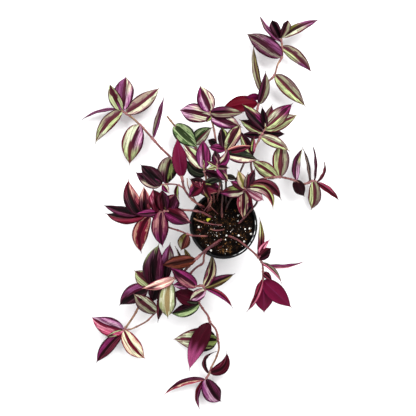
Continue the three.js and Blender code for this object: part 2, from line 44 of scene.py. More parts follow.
# The plan is in photo steps, across to the right and down, with heights in millimetres.
plan = dict(eyeHeight=1350, stepOnFloor=1.653, eyeStep=208, potAcross=223.5, potDown=225, potHeight=92)
mm = 0.001                                      # a millimetre in Blender's metres
up = np.array((0.0, 0.0, 1.0))


def stepAt(height):                             # a photo step in millimetres, at a height
    return plan["stepOnFloor"] * (plan["eyeHeight"] - height) / plan["eyeHeight"]


eyeX = (plan["eyeStep"] - plan["potAcross"]) * stepAt(plan["potHeight"])
eyeY = (plan["potDown"] - plan["eyeStep"]) * stepAt(plan["potHeight"])


def over(across, down, height):                 # x and y of a plan place, at one height or at many
    step = stepAt(height)
    return (across - plan["eyeStep"]) * step + eyeX, (plan["eyeStep"] - down) * step + eyeY


def place(spot):                                # the point in millimetres of a plan place
    return np.array((*over(*spot), spot[2]), dtype=float)


def unit(vectors):
    return vectors / np.maximum(np.linalg.norm(vectors, axis=-1, keepdims=True), 1e-9)


def circle(radius, sides):                      # x and y of the corners of a ring
    turns = [2 * math.pi * i / sides for i in range(sides)]
    return [(radius * math.cos(turn), radius * math.sin(turn)) for turn in turns]


# Colours and node helpers.

def tint(red, green, blue):                     # a screen colour as the linear one that shaders take
    shares = [channel / 255 for channel in (red, green, blue)]
    return tuple(s / 12.92 if s <= 0.04045 else ((s + 0.055) / 1.055) ** 2.4 for s in shares) + (1.0,)


def feed(tree, socket, value):                  # an input gets another node's output or a fixed value
    if isinstance(value, bpy.types.NodeSocket):
        tree.links.new(value, socket)
    else:
        socket.default_value = value


def addNode(tree, kind, inputs=None, **settings):
    node = tree.nodes.new(kind)
    for name, value in settings.items():
        setattr(node, name, value)
    for name, value in (inputs or {}).items():
        feed(tree, node.inputs[name], value)
    return node


def maths(tree, operation, first, second=0.0, third=0.0):
    return addNode(tree, "ShaderNodeMath", {0: first, 1: second, 2: third}, operation=operation).outputs[0]


def vectorMath(tree, operation, first, second=(0, 0, 0), output="Vector", **inputs):
    node = addNode(tree, "ShaderNodeVectorMath", {0: first, 1: second, **inputs}, operation=operation)
    return node.outputs[output]


def ramp(tree, value, low, high, start=0.0, end=1.0):
    inputs = {"Value": value, "From Min": low, "From Max": high, "To Min": start, "To Max": end}
    return addNode(tree, "ShaderNodeMapRange", inputs, interpolation_type="SMOOTHSTEP").outputs[0]


def mixed(tree, share, first, second, mode="MIX"):
    node = addNode(tree, "ShaderNodeMix", data_type="RGBA", blend_type=mode)
    for index, value in ((0, share), (6, first), (7, second)):
        feed(tree, node.inputs[index], value)
    return node.outputs[2]


def painted(tree, base, coats, masks, colours=None):  # coats of colour, each laid where its mask says
    for mask, span, share, colour, *mode in coats:
        shown = colours[colour] if isinstance(colour, str) else tint(*colour)
        base = mixed(tree, ramp(tree, masks[mask], *span, *share), base, shown, *mode)
    return base


def swayed(tree, value, noise, share):          # a value that a noise lifts and lowers by half a share
    return maths(tree, "ADD", value, maths(tree, "MULTIPLY_ADD", noise, share, -share / 2))


def noiseValue(tree, vector, scale, detail=3.0):
    inputs = {"Vector": vector, "Scale": scale, "Detail": detail}
    return addNode(tree, "ShaderNodeTexNoise", inputs).outputs[0]


def onObject(tree):                             # places on the piece, in metres
    return addNode(tree, "ShaderNodeTexCoord").outputs["Object"]


def onMap(tree, name):                          # places on one of the piece's own maps
    return addNode(tree, "ShaderNodeUVMap", uv_map=name).outputs[0]


def split(tree, vector):
    return addNode(tree, "ShaderNodeSeparateXYZ", {0: vector}).outputs


def newMaterial(name):
    material = bpy.data.materials.new(name)
    material.use_nodes = True
    return material, material.node_tree


def coated(material, paint, colour, roughness, height=None):  # the finished surface; paint has its settings
    tree = material.node_tree
    surface = {"Base Color": colour, "Roughness": roughness, "Specular IOR Level": paint["specular"]}
    if height is not None:
        bump = {"Height": height, "Strength": paint["relief"], "Distance": paint["reliefDepth"] * mm}
        surface["Normal"] = addNode(tree, "ShaderNodeBump", bump).outputs[0]
    for name, value in surface.items():
        feed(tree, tree.nodes["Principled BSDF"].inputs[name], value)
    return material


def newTree(name, kind, ins, outs):             # a node group with its named inputs and outputs
    tree = bpy.data.node_groups.new(name, kind)
    for way, sockets in (("INPUT", ins), ("OUTPUT", outs)):
        for socket, value in sockets.items():
            tree.interface.new_socket(name=socket, in_out=way, socket_type="NodeSocket" + value)
    return tree, tree.nodes.new("NodeGroupInput").outputs, tree.nodes.new("NodeGroupOutput").inputs


# Seeds of streaks lie far apart in the noise, and the fine streaks are so many times finer.
texture = dict(seedApart=40, finer=(4.2, 2.3, 1.7), streakDetail=2, gritDetail=4, blotchDetail=3)


def streakGroup():                              # long streaks that run with the leaf or the sheath
    ins = {"Map": "Vector", "Across": "Float", "Along": "Float", "Seed": "Float"}
    tree, start, end = newTree("growthStreaks", "ShaderNodeTree", ins, {"Broad": "Float", "Fine": "Float"})
    parts = split(tree, start["Map"])
    scaled = {0: maths(tree, "MULTIPLY", parts[0], start["Across"]),
              1: maths(tree, "MULTIPLY", parts[1], start["Along"]),
              2: maths(tree, "MULTIPLY", start["Seed"], texture["seedApart"])}
    broad = addNode(tree, "ShaderNodeCombineXYZ", scaled).outputs[0]
    fine = vectorMath(tree, "MULTIPLY", broad, texture["finer"])
    for name, spots in (("Broad", broad), ("Fine", fine)):
        tree.links.new(noiseValue(tree, spots, 1, texture["streakDetail"]), end[name])
    return tree


def grainGroup():                               # fine grit and soft blotches over a surface
    ins = {"Grit Scale": "Float", "Blotch Scale": "Float"}
    tree, start, end = newTree("surfaceGrain", "ShaderNodeTree", ins, {"Grit": "Float", "Blotch": "Float"})
    where = onObject(tree)
    for name, detail in (("Grit", texture["gritDetail"]), ("Blotch", texture["blotchDetail"])):
        tree.links.new(noiseValue(tree, where, start[name + " Scale"], detail), end[name])
    return tree


# Painted shade of the thicket under the crown: its middle as a plan place, and where round it the painted
# shade is full and gone.
crown = dict(heart=(238, 190, 90), full=22, gone=54)


def crownGroup():                               # how much painted shade: most in the thicket, nothing away from it
    tree, start, end = newTree("crownShade", "ShaderNodeTree", {"Most": "Float"}, {"Shade": "Float"})
    away = vectorMath(tree, "DISTANCE", onObject(tree), tuple(place(crown["heart"]) * mm), "Value")
    shade = ramp(tree, away, crown["full"] * mm, crown["gone"] * mm, start["Most"], 0.0)
    tree.links.new(shade, end["Shade"])
    return tree


streaks, grain, crownShade = streakGroup(), grainGroup(), crownGroup()


def useGroup(tree, group, inputs):
    return addNode(tree, "ShaderNodeGroup", inputs, node_tree=group).outputs


def streakNode(tree, mapName, across, along, seed):
    inputs = {"Map": onMap(tree, mapName), "Across": across, "Along": along, "Seed": seed}
    return useGroup(tree, streaks, inputs)


def grainNode(tree, grit, blotch):
    return useGroup(tree, grain, {"Grit Scale": grit, "Blotch Scale": blotch})


def shaded(tree, colour, most, dark):           # a colour with the painted shade of the thicket over it
    share = useGroup(tree, crownShade, {"Most": most})["Shade"]
    return mixed(tree, share, colour, tint(*dark))


# Meshes.

def addObject(name, data):
    made = bpy.data.objects.new(name, data)
    bpy.context.scene.collection.objects.link(made)
    return made


def addMesh(name, vertices, faces, material, smooth=True):  # vertices in millimetres
    mesh = bpy.data.meshes.new(name)
    mesh.from_pydata([tuple(v) for v in np.asarray(vertices) * mm], [], faces)
    mesh.polygons.foreach_set("use_smooth", [smooth] * len(mesh.polygons))
    mesh.materials.append(material)
    mesh.update()
    return addObject(name, mesh)


def meshOf(shape, name):                        # a finished bmesh as a mesh
    mesh = bpy.data.meshes.new(name)
    shape.to_mesh(mesh)
    shape.free()
    return mesh


def finished(source, name):                     # what an object's modifiers make of it, as a plain mesh
    bpy.context.view_layer.update()
    depsgraph = bpy.context.evaluated_depsgraph_get()
    mesh = bpy.data.meshes.new_from_object(source.evaluated_get(depsgraph))
    mesh.name = name
    return mesh


def addMap(piece, name, points):                # a UV map from one pair of numbers for each vertex
    mesh = piece.data
    corners = np.empty(len(mesh.loops), dtype=np.int64)
    mesh.loops.foreach_get("vertex_index", corners)
    layer = mesh.uv_layers.new(name=name)
    layer.data.foreach_set("uv", np.asarray(points, dtype=np.float32)[corners].ravel())


def addValues(piece, name, kind, field, values):  # what each vertex carries
    layer = piece.data.attributes.new(name, kind, "POINT")
    layer.data.foreach_set(field, np.asarray(values, dtype=np.float32).ravel())


def finishPiece(piece, slot, *nodes):
    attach(piece, "root")
    if nodes:
        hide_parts(*nodes)


def setInputs(modifier, **values):              # inputs of a nodes modifier, found by name
    for item in modifier.node_group.interface.items_tree:
        if item.item_type == "SOCKET" and item.in_out == "INPUT" and item.name in values:
            modifier[item.identifier] = values[item.name]


def grown(source, tree, name, **values):        # what a nodes tree makes of an object, as a piece
    modifier = source.modifiers.new("grow", "NODES")
    modifier.node_group = tree
    setInputs(modifier, **values)
    piece = addObject(name, finished(source, name))
    data = source.data
    source.modifiers.clear()
    bpy.data.objects.remove(source)
    (bpy.data.curves if isinstance(data, bpy.types.Curve) else bpy.data.meshes).remove(data)
    return piece


def growthTree(name, **sizes):                  # a tree that grows a piece, with named inputs for its sizes
    ins = dict(Geometry="Geometry", **sizes, Skin="Material")
    return newTree(name, "GeometryNodeTree", ins, dict(Geometry="Geometry"))


def closeTree(tree, geometry, start, end):      # every tree ends by realising and painting what it made
    real = addNode(tree, "GeometryNodeRealizeInstances", {"Geometry": geometry}).outputs[0]
    paint = addNode(tree, "GeometryNodeSetMaterial", {"Geometry": real, "Material": start["Skin"]})
    tree.links.new(paint.outputs[0], end[0])
    return tree


def drawn(tree, span, seed):                    # a number or a vector between two, drawn for each point
    kind, low, high, output = ("FLOAT_VECTOR", 0, 1, 0) if isinstance(span[0], tuple) else ("FLOAT", 2, 3, 1)
    inputs = {low: span[0], high: span[1], "Seed": seed}
    return addNode(tree, "FunctionNodeRandomValue", inputs, data_type=kind).outputs[output]


# The pot.

pot = dict(height=92, baseRadius=35.5, rimRadius=52.5, wall=1.3, lipWidth=4, lipDrop=9, lipSkirt=1.1,
           lipThick=1.6, lipRound=0.9, lipLean=0.2, neck=0.3, mouthRound=0.8, slope=1, footWidth=3.2,
           footLift=0.8, ridge=0.3, ridgeSteps=(-0.6, -0.2, 0.6, 1), ridgeHeights=(16, 74), corner=0.7,
           cornerShare=0.4, cornerSteps=4, sides=144, drainCount=6, drainRadius=3.5, drainCircle=27,
           drainSides=28, drillLength=6, sharpAngle=38)
potPaint = dict(plastic=(4, 4, 6), grit=1400, blotch=38, roughness=(0.3, 0.75, 0.3, 0.5), specular=0.12,
                relief=0.25, reliefDepth=0.2)   # roughness: the span of a noise and what it becomes
potDust = dict(colour=(96, 88, 78), share=0.2, blotchSpan=(0.5, 0.72), gritSpan=(0.4, 0.65))
# A painted highlight: a thin pale line along the inner corner of the mouth on one side, its colour, width,
# side and broken patches.
rimHighlight = dict(colour=(236, 238, 238), width=(0.2, 0.5), side=(0.87, -0.5, 0), sideSpan=(0.7, 0.9),
                patchScale=150, patches=(0.42, 0.56, 0.1, 1))


def rimHighlightShare(tree):                            # 1 on a painted highlight: a thin broken line along one side of the mouth's corner
    where = onObject(tree)
    flat = vectorMath(tree, "MULTIPLY", where, (1, 1, 0))
    radius = vectorMath(tree, "LENGTH", flat, output="Value")
    corner = (pot["rimRadius"] - pot["lipWidth"] + pot["mouthRound"]) * mm
    away = maths(tree, "ABSOLUTE", maths(tree, "SUBTRACT", radius, corner))
    facing = vectorMath(tree, "DOT_PRODUCT", vectorMath(tree, "NORMALIZE", flat), rimHighlight["side"], "Value")
    full, gone = rimHighlight["width"]
    line = maths(tree, "MULTIPLY", ramp(tree, away, full * mm, gone * mm, 1, 0),
                 ramp(tree, facing, *rimHighlight["sideSpan"]))
    patches = noiseValue(tree, where, rimHighlight["patchScale"])
    return maths(tree, "MULTIPLY", line, ramp(tree, patches, *rimHighlight["patches"]))


def potPlastic():                               # black plastic with a fine grain, dust and a painted highlight line
    material, tree = newMaterial("potPlastic")
    spots = grainNode(tree, potPaint["grit"], potPaint["blotch"])
    dust = maths(tree, "MULTIPLY", ramp(tree, spots["Blotch"], *potDust["blotchSpan"]),
                 ramp(tree, spots["Grit"], *potDust["gritSpan"]))
    dusty = maths(tree, "MULTIPLY", dust, potDust["share"])
    base = mixed(tree, dusty, tint(*potPaint["plastic"]), tint(*potDust["colour"]))
    # the painted highlight along one side of the mouth
    base = mixed(tree, rimHighlightShare(tree), base, tint(*rimHighlight["colour"]))
    rough = ramp(tree, spots["Blotch"], *potPaint["roughness"])
    return coated(material, potPaint, base, rough, spots["Grit"])


def potInside(height):                          # inner radius of the pot at a height
    low = pot["baseRadius"] - pot["wall"]
    share = (height - pot["wall"]) / (pot["height"] - pot["slope"] - pot["wall"])
    return low + (pot["rimRadius"] - pot["lipWidth"] - low) * share


def potOutline():                               # from the middle of the base round to the middle of the floor
    base, rim, top = pot["baseRadius"], pot["rimRadius"], pot["height"]
    wall, slope = pot["wall"], pot["slope"]
    bodyTop = rim - pot["lipWidth"] + wall
    mouth, underLip = bodyTop - wall, top - pot["lipThick"]
    skirt, drop, foot = rim - pot["lipSkirt"], top - pot["lipDrop"], base - pot["footWidth"]
    corners = [(0, pot["footLift"]), (foot - slope, pot["footLift"]), (foot, 0), (base - slope, 0),
               (base, slope)]
    for height in pot["ridgeHeights"]:
        radius = base + (bodyTop - base) * height / top
        corners += [(radius + out, height + step)
                    for step, out in zip(pot["ridgeSteps"], (0, pot["ridge"], pot["ridge"], 0))]
    corners += [(bodyTop - pot["neck"], drop), (bodyTop, underLip), (skirt, underLip), (skirt, drop),
                (rim - pot["lipLean"], drop), (rim, top - pot["lipRound"]), (rim - pot["lipRound"], top),
                (mouth + pot["mouthRound"], top), (mouth, top - slope), (base - wall, wall + slope),
                (base - wall - slope, wall), (0, wall)]
    return [np.array(corner, dtype=float) for corner in corners]


def softened(corners):                          # each corner but the two ends becomes a short curve
    line = [corners[0]]
    for before, here, after in zip(corners, corners[1:], corners[2:]):
        sides = (np.linalg.norm(before - here), np.linalg.norm(after - here))
        reach = min(pot["corner"], min(sides) * pot["cornerShare"])
        start = here + unit(before - here) * reach
        end = here + unit(after - here) * reach
        for t in np.linspace(0, 1, pot["cornerSteps"] + 1):
            line.append(start * (1 - t) ** 2 + here * 2 * t * (1 - t) + end * t * t)
    return line + [corners[-1]]


def turned(outline, sides):                     # a closed body turned round the upright axis
    vertices = [(0, 0, outline[0][1]), (0, 0, outline[-1][1])]
    rings = []
    for radius, height in outline[1:-1]:
        rings.append(len(vertices))
        vertices += [(x, y, height) for x, y in circle(radius, sides)]
    faces = []
    for i in range(sides):
        j = (i + 1) % sides
        faces.append((0, rings[0] + j, rings[0] + i))
        faces.append((1, rings[-1] + i, rings[-1] + j))
        for low, high in zip(rings, rings[1:]):
            faces.append((low + i, low + j, high + j, high + i))
    return vertices, faces


def drainDrills():                              # what the drain holes are cut with
    drills = bmesh.new()
    radius = pot["drainRadius"] * mm
    for i in range(pot["drainCount"]):
        angle = (i + 0.5) / pot["drainCount"] * 2 * math.pi
        made = bmesh.ops.create_cone(drills, cap_ends=True, segments=pot["drainSides"], radius1=radius,
                                     radius2=radius, depth=pot["drillLength"] * mm)
        spot = Vector((math.cos(angle), math.sin(angle), 0)) * pot["drainCircle"] * mm
        bmesh.ops.translate(drills, verts=made["verts"], vec=spot)
    return addObject("drills", meshOf(drills, "drills"))


def makePot():
    vertices, faces = turned(softened(potOutline()), pot["sides"])
    body, drills = addMesh("potBody", vertices, faces, potPlastic()), drainDrills()
    cut = body.modifiers.new("drain", "BOOLEAN")
    cut.object = drills
    cut.solver = "EXACT"
    shell = finished(body, "nurseryPotShell")
    for leftover in (body, drills):
        bpy.data.objects.remove(leftover)
    shell.set_sharp_from_angle(angle=math.radians(pot["sharpAngle"]))
    finishPiece(addObject("nurseryPotShell", shell), "pot_plastic", "nursery_pot")


makePot()
print("pot made")


# The soil and what lies on it.

soil = dict(level=80, relief=1.1, waves=(0.19, 0.23, 0.41, 0.33), slantShare=0.6, play=0.3, rings=64,
            turns=150, lump=0.9, lumpSize=3.2, lumpLayers=((1, 1), (2.3, 0.6), (5.1, 0.35)),
            wallHeights=(60, 30), foot=2, footInset=1.6, edgeInset=1.4, patchRings=24, patchTurns=72)
groundPaint = dict(                             # name, dark tone, pale tone, where that starts, roughness
    soil=("darkSoil", (6, 4, 4), (34, 22, 15), 0.45, 0.9),
    crumb=("soilCrumb", (12, 8, 6), (64, 42, 24), 0.42, 0.9),
    bark=("barkChip", (58, 34, 18), (176, 124, 66), 0.46, 0.8),
    perlite=("perliteGrain", (206, 202, 192), (246, 244, 238), 0.3, 0.85),
)
# shade and dark: how much painted shade of the crown thicket lies on the soil and its bits, and its colour
groundGrain = dict(grit=1100, blotch=160, gritShare=0.7, soften=0.3, shade=0.92, dark=(5, 3, 3),
                   specular=0.04, relief=0.6, reliefDepth=0.6)
soilRadius = potInside(soil["level"]) - soil["play"]


def groundMaterial(name, dark, pale, start, rough):  # two tones in grit and blotches, with painted shade under the crown
    material, tree = newMaterial(name)
    spots = grainNode(tree, groundGrain["grit"], groundGrain["blotch"])
    tone = swayed(tree, spots["Blotch"], spots["Grit"], groundGrain["gritShare"])
    base = mixed(tree, ramp(tree, tone, start, start + groundGrain["soften"]), tint(*dark), tint(*pale))
    # painted shade on the soil under the crown
    base = shaded(tree, base, groundGrain["shade"], groundGrain["dark"])
    return coated(material, groundGrain, base, rough, spots["Grit"])


ground = {name: groundMaterial(*paint) for name, paint in groundPaint.items()}


def soilHeight(x, y):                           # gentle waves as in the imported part, with fine lumps
    edge = min(1.0, math.hypot(x, y) / soilRadius)
    alongX, alongY, slantX, slantY = soil["waves"]
    waves = math.sin(x * alongX + 1) * math.cos(y * alongY)
    waves += soil["slantShare"] * math.sin(x * slantX - y * slantY)
    spot = Vector((x, y, 0)) / soil["lumpSize"]
    lumps = sum(share * noise.noise(spot * finer) for finer, share in soil["lumpLayers"])
    return soil["level"] + soil["relief"] * waves * (1 - edge ** 4) + soil["lump"] * lumps


def soilTop(limit, rings, turns):
    vertices = [(0, 0, soilHeight(0, 0))]
    for ring in range(1, rings + 1):
        vertices += [(x, y, soilHeight(x, y)) for x, y in circle(limit * ring / rings, turns)]
    faces = []
    for i in range(turns):
        j = (i + 1) % turns
        faces.append((0, 1 + i, 1 + j))
        for low in range(1, 1 + (rings - 1) * turns, turns):
            faces.append((low + i, low + turns + i, low + turns + j, low + j))
    return vertices, faces


def makeSoil():                                 # the top, then the rings down the wall, then the underside
    turns = soil["turns"]
    vertices, faces = soilTop(soilRadius, soil["rings"], turns)
    floor = pot["wall"] + soil["play"]
    for height in (*soil["wallHeights"], floor + soil["foot"], floor):
        low = len(vertices) - turns
        radius = potInside(height) - soil["play"] - (soil["footInset"] if height == floor else 0)
        vertices += [(x, y, height) for x, y in circle(radius, turns)]
        for i in range(turns):
            j = (i + 1) % turns
            faces.append((low + i, low + turns + i, low + turns + j, low + j))
    low = len(vertices) - turns
    faces += [(len(vertices), low + (i + 1) % turns, low + i) for i in range(turns)]
    vertices.append((0, 0, floor))
    finishPiece(addMesh("soilBody", vertices, faces, ground["soil"]), "soil", "potting_soil")


bitForm = dict(                                 # how far bits differ from each other
    dents=(0.7, 1.25), dentSeed=5, turn=((-0.5, -0.5, 0.0), (0.5, 0.5, 6.28)),
    size=((0.4, 0.4, 0.5), (1.3, 1.1, 1.0)))
strewn = {                                      # bits a square metre, their size in mm and their shape
    "soilCrumbs": dict(skin="crumb", density=230000, size=0.95, shape=(1, 0.9, 0.75), seed=3),
    "soilGrit": dict(skin="soil", density=300000, size=0.6, shape=(1, 1, 0.8), seed=8),
    "barkChips": dict(skin="bark", density=40000, size=0.85, shape=(2.1, 0.7, 0.35), seed=12),
    "perliteGrit": dict(skin="perlite", density=15000, size=0.55, shape=(1, 0.9, 0.85), seed=21),
    "leftBark": dict(skin="bark", density=330000, size=0.6, shape=(2, 0.7, 0.4), seed=31,
                     spot=(198, 215), reach=13),
    "lowBark": dict(skin="bark", density=260000, size=0.6, shape=(2, 0.7, 0.4), seed=36,
                    spot=(224, 251), reach=12),
}


def strewTree():                                # rough pebbles laid at random on faces
    tree, start, end = growthTree("strewnBits", Density="Float", Size="Float", Shape="Vector", Seed="Int")
    spots = addNode(tree, "GeometryNodeDistributePointsOnFaces",
                    {"Mesh": start["Geometry"], "Density": start["Density"], "Seed": start["Seed"]})
    ball = addNode(tree, "GeometryNodeMeshIcoSphere", {"Radius": start["Size"], "Subdivisions": 1})
    corner = tree.nodes.new("GeometryNodeInputPosition").outputs[0]
    dented = vectorMath(tree, "SCALE", corner, Scale=drawn(tree, bitForm["dents"], bitForm["dentSeed"]))
    shaped = vectorMath(tree, "MULTIPLY", dented, start["Shape"])
    rough = addNode(tree, "GeometryNodeSetPosition", {"Geometry": ball.outputs[0], "Position": shaped})
    angle = addNode(tree, "FunctionNodeEulerToRotation", {0: drawn(tree, bitForm["turn"], start["Seed"])})
    bits = addNode(tree, "GeometryNodeInstanceOnPoints",
                   {"Points": spots.outputs[0], "Instance": rough.outputs[0], "Rotation": angle.outputs[0],
                    "Scale": drawn(tree, bitForm["size"], start["Seed"])})
    return closeTree(tree, bits.outputs[0], start, end)


def strewSoil():
    tree = strewTree()
    for name, bits in strewn.items():
        vertices, faces = soilTop(soilRadius - soil["edgeInset"], soil["patchRings"], soil["patchTurns"])
        if "spot" in bits:
            middle = over(*bits["spot"], soil["level"])
            faces = [face for face in faces if math.dist(vertices[face[0]][:2], middle) < bits["reach"]]
        patch = addMesh("patch", vertices, faces, ground["soil"])
        piece = grown(patch, tree, name, Density=float(bits["density"]), Size=bits["size"] * mm,
                      Shape=bits["shape"], Seed=bits["seed"], Skin=ground[bits["skin"]])
        finishPiece(piece, "soil")


perliteForm = dict(levels=2, dentSize=1.7, least=0.95, dent=0.5, lift=0.35)
perlite = [                                     # the larger grains, as plan places with their radius in mm
    (198.6, 227, 1.8), (211, 250.5, 1.8), (226.5, 235.5, 1.5), (238.6, 235.5, 1.8), (244, 241.5, 1.5),
    (249.5, 228.5, 1.6), (251, 234, 1.7), (245, 229, 1.2), (238, 215.5, 1.3), (238, 221, 1.1),
    (225.4, 239.5, 1), (208, 245.5, 0.9), (226.5, 249.5, 0.9), (192.5, 217, 0.9), (217, 236, 0.9),
    (230.6, 231.6, 0.8),
]


def makePerlite():
    lumps = bmesh.new()
    for across, down, radius in perlite:
        made = bmesh.ops.create_icosphere(lumps, subdivisions=perliteForm["levels"], radius=radius * mm)
        for vertex in made["verts"]:
            spot = vertex.co.normalized() * perliteForm["dentSize"] + Vector((across, down, 0))
            vertex.co *= perliteForm["least"] + perliteForm["dent"] * noise.noise(spot)
        x, y = over(across, down, soil["level"])
        spot = Vector((x, y, soilHeight(x, y) + radius * perliteForm["lift"])) * mm
        bmesh.ops.translate(lumps, verts=made["verts"], vec=spot)
    mesh = meshOf(lumps, "perliteLumps")
    mesh.materials.append(ground["perlite"])
    finishPiece(addObject("perliteLumps", mesh), "soil")


makeSoil()
strewSoil()
makePerlite()
print("soil made")


# Stems.

stemForm = dict(step=1.4, between=16, sides=12, swell=0.3, swellReach=1.7, thinning=0.2, rootThinning=0.3,
                rootReach=60, bareGap=23, rootDepth=13, rootSink=2, stub=5)
stemPaint = dict(                               # coats: mask, its span, the share at both ends, colour
    # shade and dark: how much painted shade of the crown thicket lies on the stems, and its colour
    root=(78, 22, 34), shade=0.9, dark=(16, 8, 8), patches=45, unevenAge=0.5, lines=2.6, linesAlong=60,
    coats=[("young", (0.05, 0.6), (0, 1), (112, 54, 56)), ("patches", (0.5, 0.64), (0, 0.6), (146, 88, 76)),
           ("young", (0.66, 1.02), (0, 0.75), (152, 128, 88)),
           ("lines", (0.48, 0.58), (0, 0.8), (44, 12, 20)),
           ("lines", (0.42, 0.34), (0, 0.5), (176, 118, 106))],
    roughness=(0.3, 0.7, 0.38, 0.55), specular=0.35, relief=0.4, reliefDepth=0.3)


def makeStemSkin():                             # dark wine at the root, browner and greener to the tip, with painted shade under the crown
    material, tree = newMaterial("stemSkin")
    share, around, length = (
        addNode(tree, "ShaderNodeAttribute", attribute_name=name).outputs["Fac"]
        for name in ("stemShare", "stemRound", "stemLength"))
    turn = maths(tree, "MULTIPLY", around, 2 * math.pi)
    skin = {0: maths(tree, "COSINE", turn), 1: maths(tree, "SINE", turn),
            2: maths(tree, "MULTIPLY", length, stemPaint["linesAlong"])}
    lines = noiseValue(tree, addNode(tree, "ShaderNodeCombineXYZ", skin).outputs[0], stemPaint["lines"])
    patches = noiseValue(tree, onObject(tree), stemPaint["patches"])
    young = swayed(tree, share, patches, stemPaint["unevenAge"])
    masks = dict(young=young, patches=patches, lines=lines)
    base = painted(tree, tint(*stemPaint["root"]), stemPaint["coats"], masks)
    # painted shade where the stems run under the crown
    base = shaded(tree, base, stemPaint["shade"], stemPaint["dark"])
    rough = ramp(tree, patches, *stemPaint["roughness"])
    return coated(material, stemPaint, base, rough, lines)


def stored(tree, geometry, name, value):        # a value kept on the geometry under a name
    inputs = {"Geometry": geometry, "Name": name, "Value": value}
    return addNode(tree, "GeometryNodeStoreNamedAttribute", inputs).outputs[0]


def stemTree():                                 # a round sweep along lines, as thick as their radii say
    tree, start, end = growthTree("stemSweep", Sides="Int")
    ring = addNode(tree, "GeometryNodeCurvePrimitiveCircle", {"Resolution": start["Sides"], "Radius": 1.0})
    where = tree.nodes.new("GeometryNodeSplineParameter").outputs
    line = stored(tree, start["Geometry"], "stemShare", where["Factor"])
    line = stored(tree, line, "stemLength", where["Length"])
    around = stored(tree, ring.outputs[0], "stemRound", where["Factor"])
    radius = tree.nodes.new("GeometryNodeInputRadius").outputs[0]
    sweep = addNode(tree, "GeometryNodeCurveToMesh",
                    {"Curve": line, "Profile Curve": around, "Scale": radius, "Fill Caps": True})
    smooth = addNode(tree, "GeometryNodeSetShadeSmooth", {"Geometry": sweep.outputs[0]})
    return closeTree(tree, smooth.outputs[0], start, end)


stemSkin, stemSweep = makeStemSkin(), stemTree()


def smoothLine(points):                         # an even line through points, without overshoot
    points = [np.asarray(p, dtype=float) for p in points]
    chain = [2 * points[0] - points[1]] + points + [2 * points[-1] - points[-2]]
    dense = []
    for a, b, c, d in zip(chain, chain[1:], chain[2:], chain[3:]):
        first, middle, last = (math.sqrt(max(np.linalg.norm(q - p), 1e-6))
                               for p, q in ((a, b), (b, c), (c, d)))
        leaving = ((b - a) / first - (c - a) / (first + middle) + (c - b) / middle) * middle
        arriving = ((c - b) / middle - (d - b) / (middle + last) + (d - c) / last) * middle
        for t in np.linspace(0, 1, stemForm["between"], endpoint=False):
            dense.append(b + leaving * t + (3 * (c - b) - 2 * leaving - arriving) * t * t
                         + (2 * (b - c) + leaving + arriving) * t ** 3)
    dense = np.array(dense + [points[-1]])
    lengths = np.concatenate(([0], np.cumsum(np.linalg.norm(np.diff(dense, axis=0), axis=1))))
    marks = np.linspace(0, lengths[-1], max(3, round(lengths[-1] / stemForm["step"])) + 1)
    return along(marks, lengths, dense), marks


def along(stops, marks, line):                  # the points of a line at some stops
    return np.stack([np.interp(stops, marks, line[:, axis]) for axis in range(3)], axis=1)


def stemLine(stem):                             # a stem that starts at the soil stands upright in it first
    points = [place(spot) for spot in stem["path"]]
    level = soil["level"]
    if stem["path"][0][2] == level:
        x, y, _ = points[0]
        heights = (level - stemForm["rootDepth"], level - stemForm["rootSink"], level + stemForm["stub"])
        points[:1] = [np.array((x, y, height)) for height in heights]
    return smoothLine(points)


def seatOn(lines, spot):                        # the stem, mark and point nearest to a plan place
    best = None
    for index, (line, marks) in enumerate(lines):
        x, y = over(*spot, line[:, 2])
        gaps = np.hypot(line[:, 0] - x, line[:, 1] - y)
        nearest = int(np.argmin(gaps))
        if best is None or gaps[nearest] < best[0]:
            best = (gaps[nearest], index, marks[nearest], line[nearest])
    return best[1:]


def spaced(marks, gap):                         # marks in order, without those too close to the one before
    kept = []
    for mark in sorted(marks):
        if not kept or mark - kept[-1] >= gap:
            kept.append(mark)
    return kept


def stemRadii(stem, marks, joints):             # thinner to the tip, swollen at each joint
    radii = stem["radius"] * (1 - stemForm["thinning"] * (marks / marks[-1]) ** 3)
    radii = radii * (1 - stemForm["rootThinning"] * np.exp(-marks / stemForm["rootReach"]))
    for joint in joints:
        radii = radii * (1 + stemForm["swell"] * np.exp(-((marks - joint) / stemForm["swellReach"]) ** 2))
    return radii


def makeStems(name, grownStems):                # from the line and the radii of each stem
    curve = bpy.data.curves.new(name, "CURVE")
    curve.dimensions = "3D"
    for line, radii in grownStems:
        spline = curve.splines.new("POLY")
        spline.points.add(len(line) - 1)
        spots = np.hstack((line * mm, np.ones((len(line), 1))))
        spline.points.foreach_set("co", spots.astype(np.float32).ravel())
        spline.points.foreach_set("radius", (radii * mm).astype(np.float32))
    return grown(addObject(name + "Lines", curve), stemSweep, name, Sides=stemForm["sides"], Skin=stemSkin)


# Sleeves round the stem below each leaf, and the hairs at their mouths.

sleeve = dict(length=8, rings=7, sides=14, wall=0.3, gap=0.2, flare=0.75, flareCurve=2.5, apart=4.5,
              lowest=6, hairs=13, hairSides=3, hairLength=2.3, hairWidth=0.07, hairLean=0.75,
              hairSink=0.1, hairSizes=(0.6, 1.2), hairSeed=4)
sleevePaint = dict(                             # coats as on the stems
    pale=(140, 84, 86), streak=(9, 0.8, 0.3), roughness=0.5, specular=0.3, relief=0.4, reliefDepth=0.2,
    coats=[("broad", (0.4, 0.65), (0, 1), (86, 34, 52)), ("fine", (0.45, 0.6), (0, 0.4), (168, 132, 112)),
           ("mouth", (0.8, 1), (0, 0.6), (176, 128, 122))])
hairPaint = dict(pale=(226, 208, 196), pink=(176, 120, 140), grit=800, blotch=90, roughness=0.55,
                 specular=0.3)


